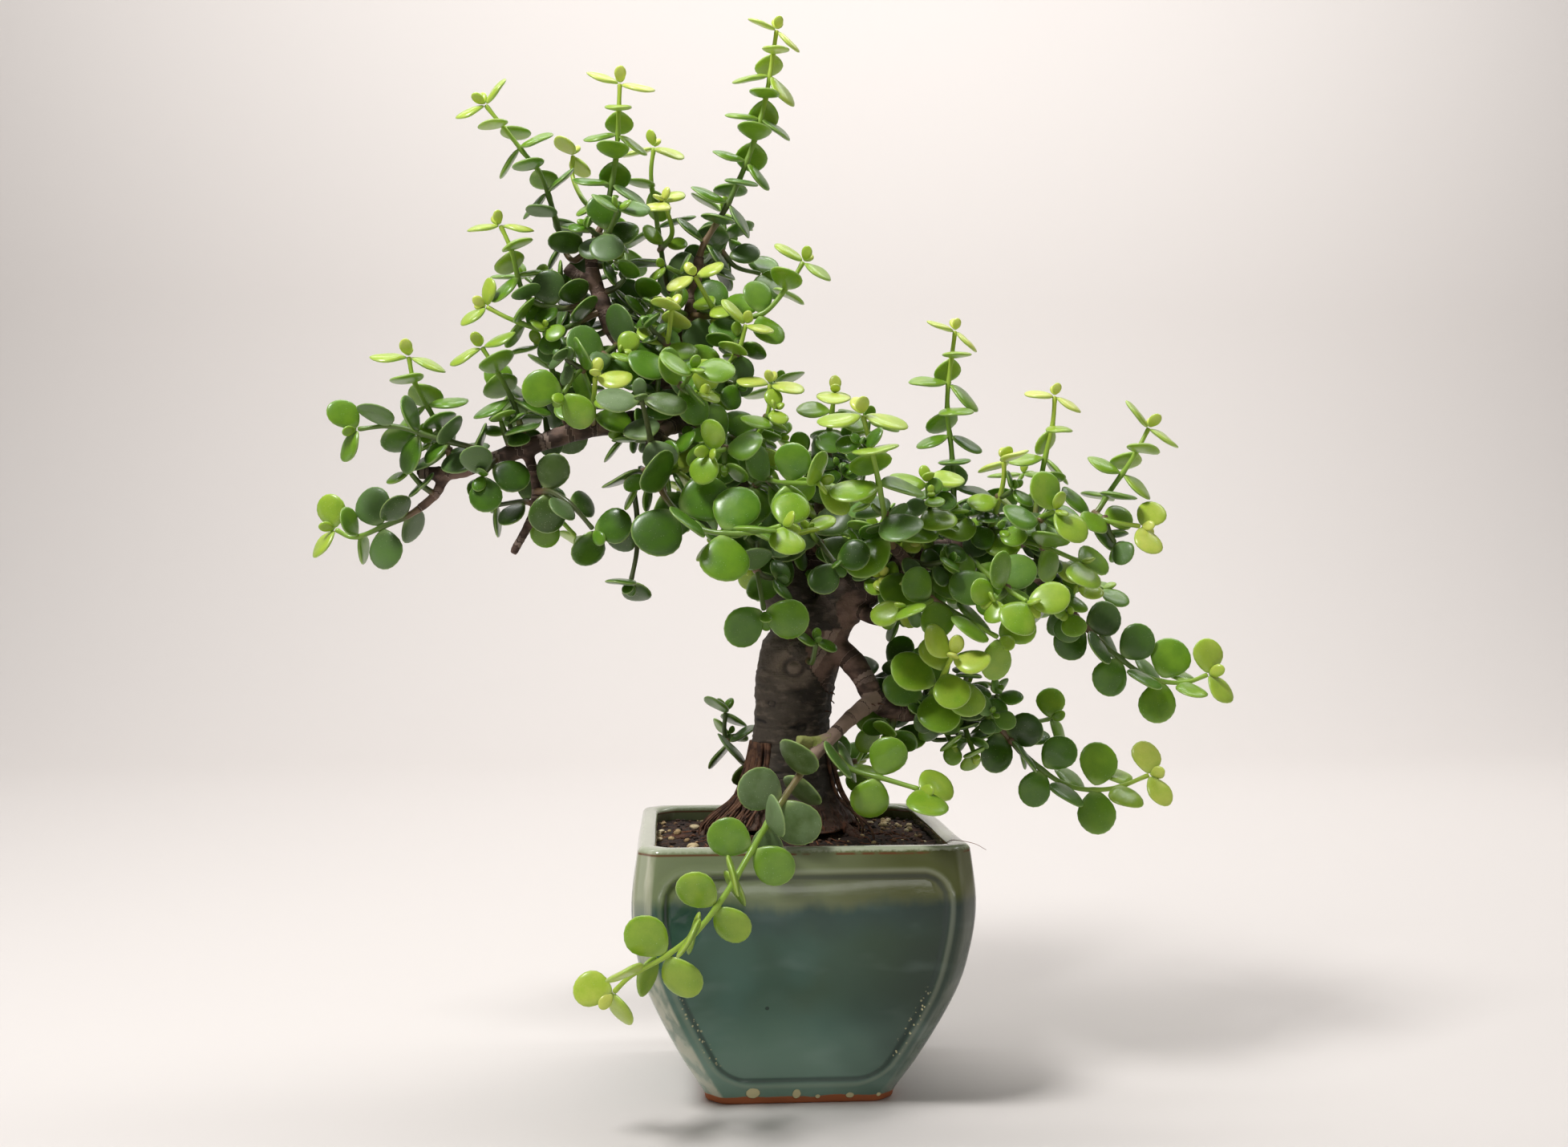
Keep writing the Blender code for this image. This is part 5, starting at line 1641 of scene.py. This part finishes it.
def limbSprigs(crowd, region, draw):
    form = sprigForm
    carriers, rounds, lowest, _ = form["regions"][region]
    found = []
    for limb in [name for name in carriers if carriers[name]]:
        start, stop = carriers[limb]
        points, thick, thin = limbs[limb]
        route = smoothRoute(points, 3)
        lengths = routeLengths(route)
        radii = tapered(lengths, thick, thin)
        for _ in range(rounds):
            place = lengths[-1] * start
            while place < lengths[-1] * stop:
                spot, way, side = alongRoute(route, place)
                radius = min(zip(lengths, radii), key=lambda pair: abs(pair[0] - place))[1]
                out = squareOut(way, side, draw.uniform(0, math.tau))
                if out.z > lowest:
                    sprig = tryPlacing(crowd, region + str(len(found)), "trunk", spot + out * (radius - 0.6),
                                       out, draw.uniform(*form["lengths"]), draw)
                    if sprig:
                        found.append(sprig)
                place += form["step"] * draw.uniform(0.6, 1.4)
    return found


def axilSprigs(crowd, routed, region, draw):
    form = sprigForm
    carriers, _, _, chance = form["regions"][region]
    found = []
    for shoot in routed.values():
        root = shoot
        while root.parent in routed:
            root = routed[root.parent]
        if shoot.name in form["bareShoots"] or root.parent not in carriers:
            continue
        for back, place in enumerate(pairPlaces(shoot)):
            if back < 1 or draw.random() > chance:
                continue
            spot, way, side = alongRoute(shoot.route, place + 0.8)
            out = (squareOut(way, side, draw.uniform(0, math.tau)) + way * 0.5).normalized()
            sprig = tryPlacing(crowd, region + "Axil" + str(len(found)), "stem " + shoot.name, spot, out,
                               draw.uniform(*form["axilLengths"]), draw)
            if sprig:
                found.append(sprig)
    return found


def growOn(bm, shoot, step, draw):
    # Adds a shoot's stem, leaves and bud to a mesh, and returns how many leaves it has.
    addStem(bm, shoot, step)
    for back, place, length, width in shoot.leaves:
        addLeaf(bm, place, length, width, leafAge(shoot, back, draw), draw)
    addBud(bm, shoot, draw)
    return len(shoot.leaves)


def makeSprigs(crowd, routed, finish):
    # Small side sprigs inside the crown, only where they find room.
    total = 0
    for number, region in enumerate(sprigForm["regions"]):
        draw = random.Random(sprigForm["seed"] + number)
        found = limbSprigs(crowd, region, draw) + axilSprigs(crowd, routed, region, draw)
        bm = bmesh.new()
        leafLayers(bm)
        total += sum(growOn(bm, sprig, stemForm["sprigRingStep"], draw) for sprig in found)
        addPiece("sprigs_" + region, bm, finish, subdivided=1)
        print("sprigs", region, len(found))
    return total


def leafLayers(bm):
    return {layer: bm.verts.layers.float.new(layer) for layer in ("age", "tone", "margin", "root", "stem")}


def makeShoots(routed, finish):
    total = 0
    for number, (name, shoot) in enumerate(routed.items()):
        if shoot.parent in routed:
            continue
        draw = random.Random(leafForm["finishSeed"] + number)
        bm = bmesh.new()
        leafLayers(bm)
        members = [shoot] + [other for other in routed.values() if other.parent == name]
        total += sum(growOn(bm, member, stemForm["ringStep"], draw) for member in members)
        addPiece("leaves_" + name, bm, finish, ["shoot_" + name], subdivided=1)
    return total


def addBud(bm, shoot, draw):
    # The next pair, still small and nearly closed over the tip.
    spot, way, side = alongRoute(shoot.route, routeLengths(shoot.route)[-1])
    quarter = math.pi / 2
    for half in (0, 1):
        place = leafPlace(spot, way, side, quarter + half * math.pi, math.radians(58), 0.1)
        length = shoot.leaf * leafForm["budSize"] * draw.uniform(0.8, 1.1)
        addLeaf(bm, place, length, length * 0.72, max(0, shoot.ages[0] - 0.1), draw)


leafLook = {
    "stops": [(0.0, paint(204, 212, 100)), (0.14, paint(168, 192, 66)), (0.35, paint(122, 160, 42)),
              (0.55, paint(84, 126, 30)), (0.75, paint(54, 84, 20)), (0.9, paint(72, 94, 40)),
              (1.0, paint(106, 128, 84))],
    "stemStops": [(0.0, paint(184, 200, 74)), (0.3, paint(136, 170, 60)), (0.5, paint(92, 118, 48)),
                  (0.75, paint(70, 78, 44)), (1.0, paint(84, 92, 54))],
    "stemOld": paint(122, 92, 72),
    "pale": paint(190, 214, 130),
    "speck": paint(214, 226, 176),
    "shade": paint(40, 70, 30),
    "sage": paint(112, 136, 92),
}


def leafFinish():
    look = leafLook
    leaf = Finish("jadeLeaf", Roughness=0.34, Specular_IOR_Level=0.35, Subsurface_Weight=0.15,
                  Subsurface_Scale=0.003, Coat_Weight=0.1, Coat_Roughness=0.2)
    leaf.shader.inputs["Subsurface Radius"].default_value = (0.5, 1.0, 0.25)
    age = leaf.attribute("age")
    tone = leaf.attribute("tone")
    margin = leaf.attribute("margin")
    root = leaf.attribute("root")
    stem = leaf.attribute("stem")
    patches = leaf.cloud(6, 3)
    fine = leaf.cloud(0.5, 3)
    colour = leaf.ramp(age + (tone - 0.5) * 0.12 + (patches - 0.5) * 0.26, look["stops"])
    colour = leaf.blend(leaf.between(root, 0.2, 1) * 0.35, colour, look["pale"])
    colour = leaf.blend(leaf.between(margin, 0.9, 1.0) * 0.45 * (1 - stem), colour, look["pale"])
    # Some full-grown leaves have a thin grey bloom
    sage = leaf.between(tone + (patches - 0.5) * 0.3, 0.55, 0.95) * leaf.between(age, 0.3, 0.6)
    sage = sage * (1 - stem)
    colour = leaf.blend(sage * 0.45, colour, look["sage"])
    specks = leaf.specks(0.9, 0.13) * leaf.between(patches, 0.4, 0.6)
    colour = leaf.blend(specks * 0.4 * (1 - stem), colour, look["speck"])
    colour = leaf.blend(leaf.between(fine, 0.5, 0.8) * 0.12, colour, look["shade"])
    stalk = leaf.ramp(age, look["stemStops"])
    stalk = leaf.blend(leaf.between(root + (patches - 0.5) * 0.5, 0.3, 0.9) * 0.8, stalk, look["stemOld"])
    colour = leaf.blend(stem, colour, stalk)
    leaf.into("Base Color", colour)
    bloom = leaf.between(age, 0.85, 1.0)
    leaf.into("Roughness", 0.32 + bloom * 0.22 + sage * 0.1 + fine * 0.08 + stem * 0.12)
    leaf.into("Coat Weight", 0.34 - bloom * 0.28 - sage * 0.16)
    leaf.relief(patches * 0.8 + fine * 0.12, 0.16)
    return leaf


routedShoots = routeShoots()
crowd = placeLeaves(routedShoots)
leafGreen = leafFinish()
leafTotal = makeShoots(routedShoots, leafGreen)
print("shoots made,", leafTotal, "leaves")
print("sprigs made,", makeSprigs(crowd, routedShoots, leafGreen), "leaves")


# Drain screen: the solid keeps its shape

def screenFinish():
    plastic = Finish("screenPlastic", Roughness=0.6)
    plastic.into("Base Color", plastic.blend(plastic.cloud(2, 2), paint(26, 26, 26), paint(38, 38, 36)))
    plastic.relief(plastic.cloud(0.4, 2), 0.05)
    return plastic


cadNodes["drain_screen"].data.materials.clear()
cadNodes["drain_screen"].data.materials.append(screenFinish().material)

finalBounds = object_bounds()
boxes = {"cad": cadBounds, "visual": finalBounds}
{name: [list(corner) for corner in box] for name, box in boxes.items()}
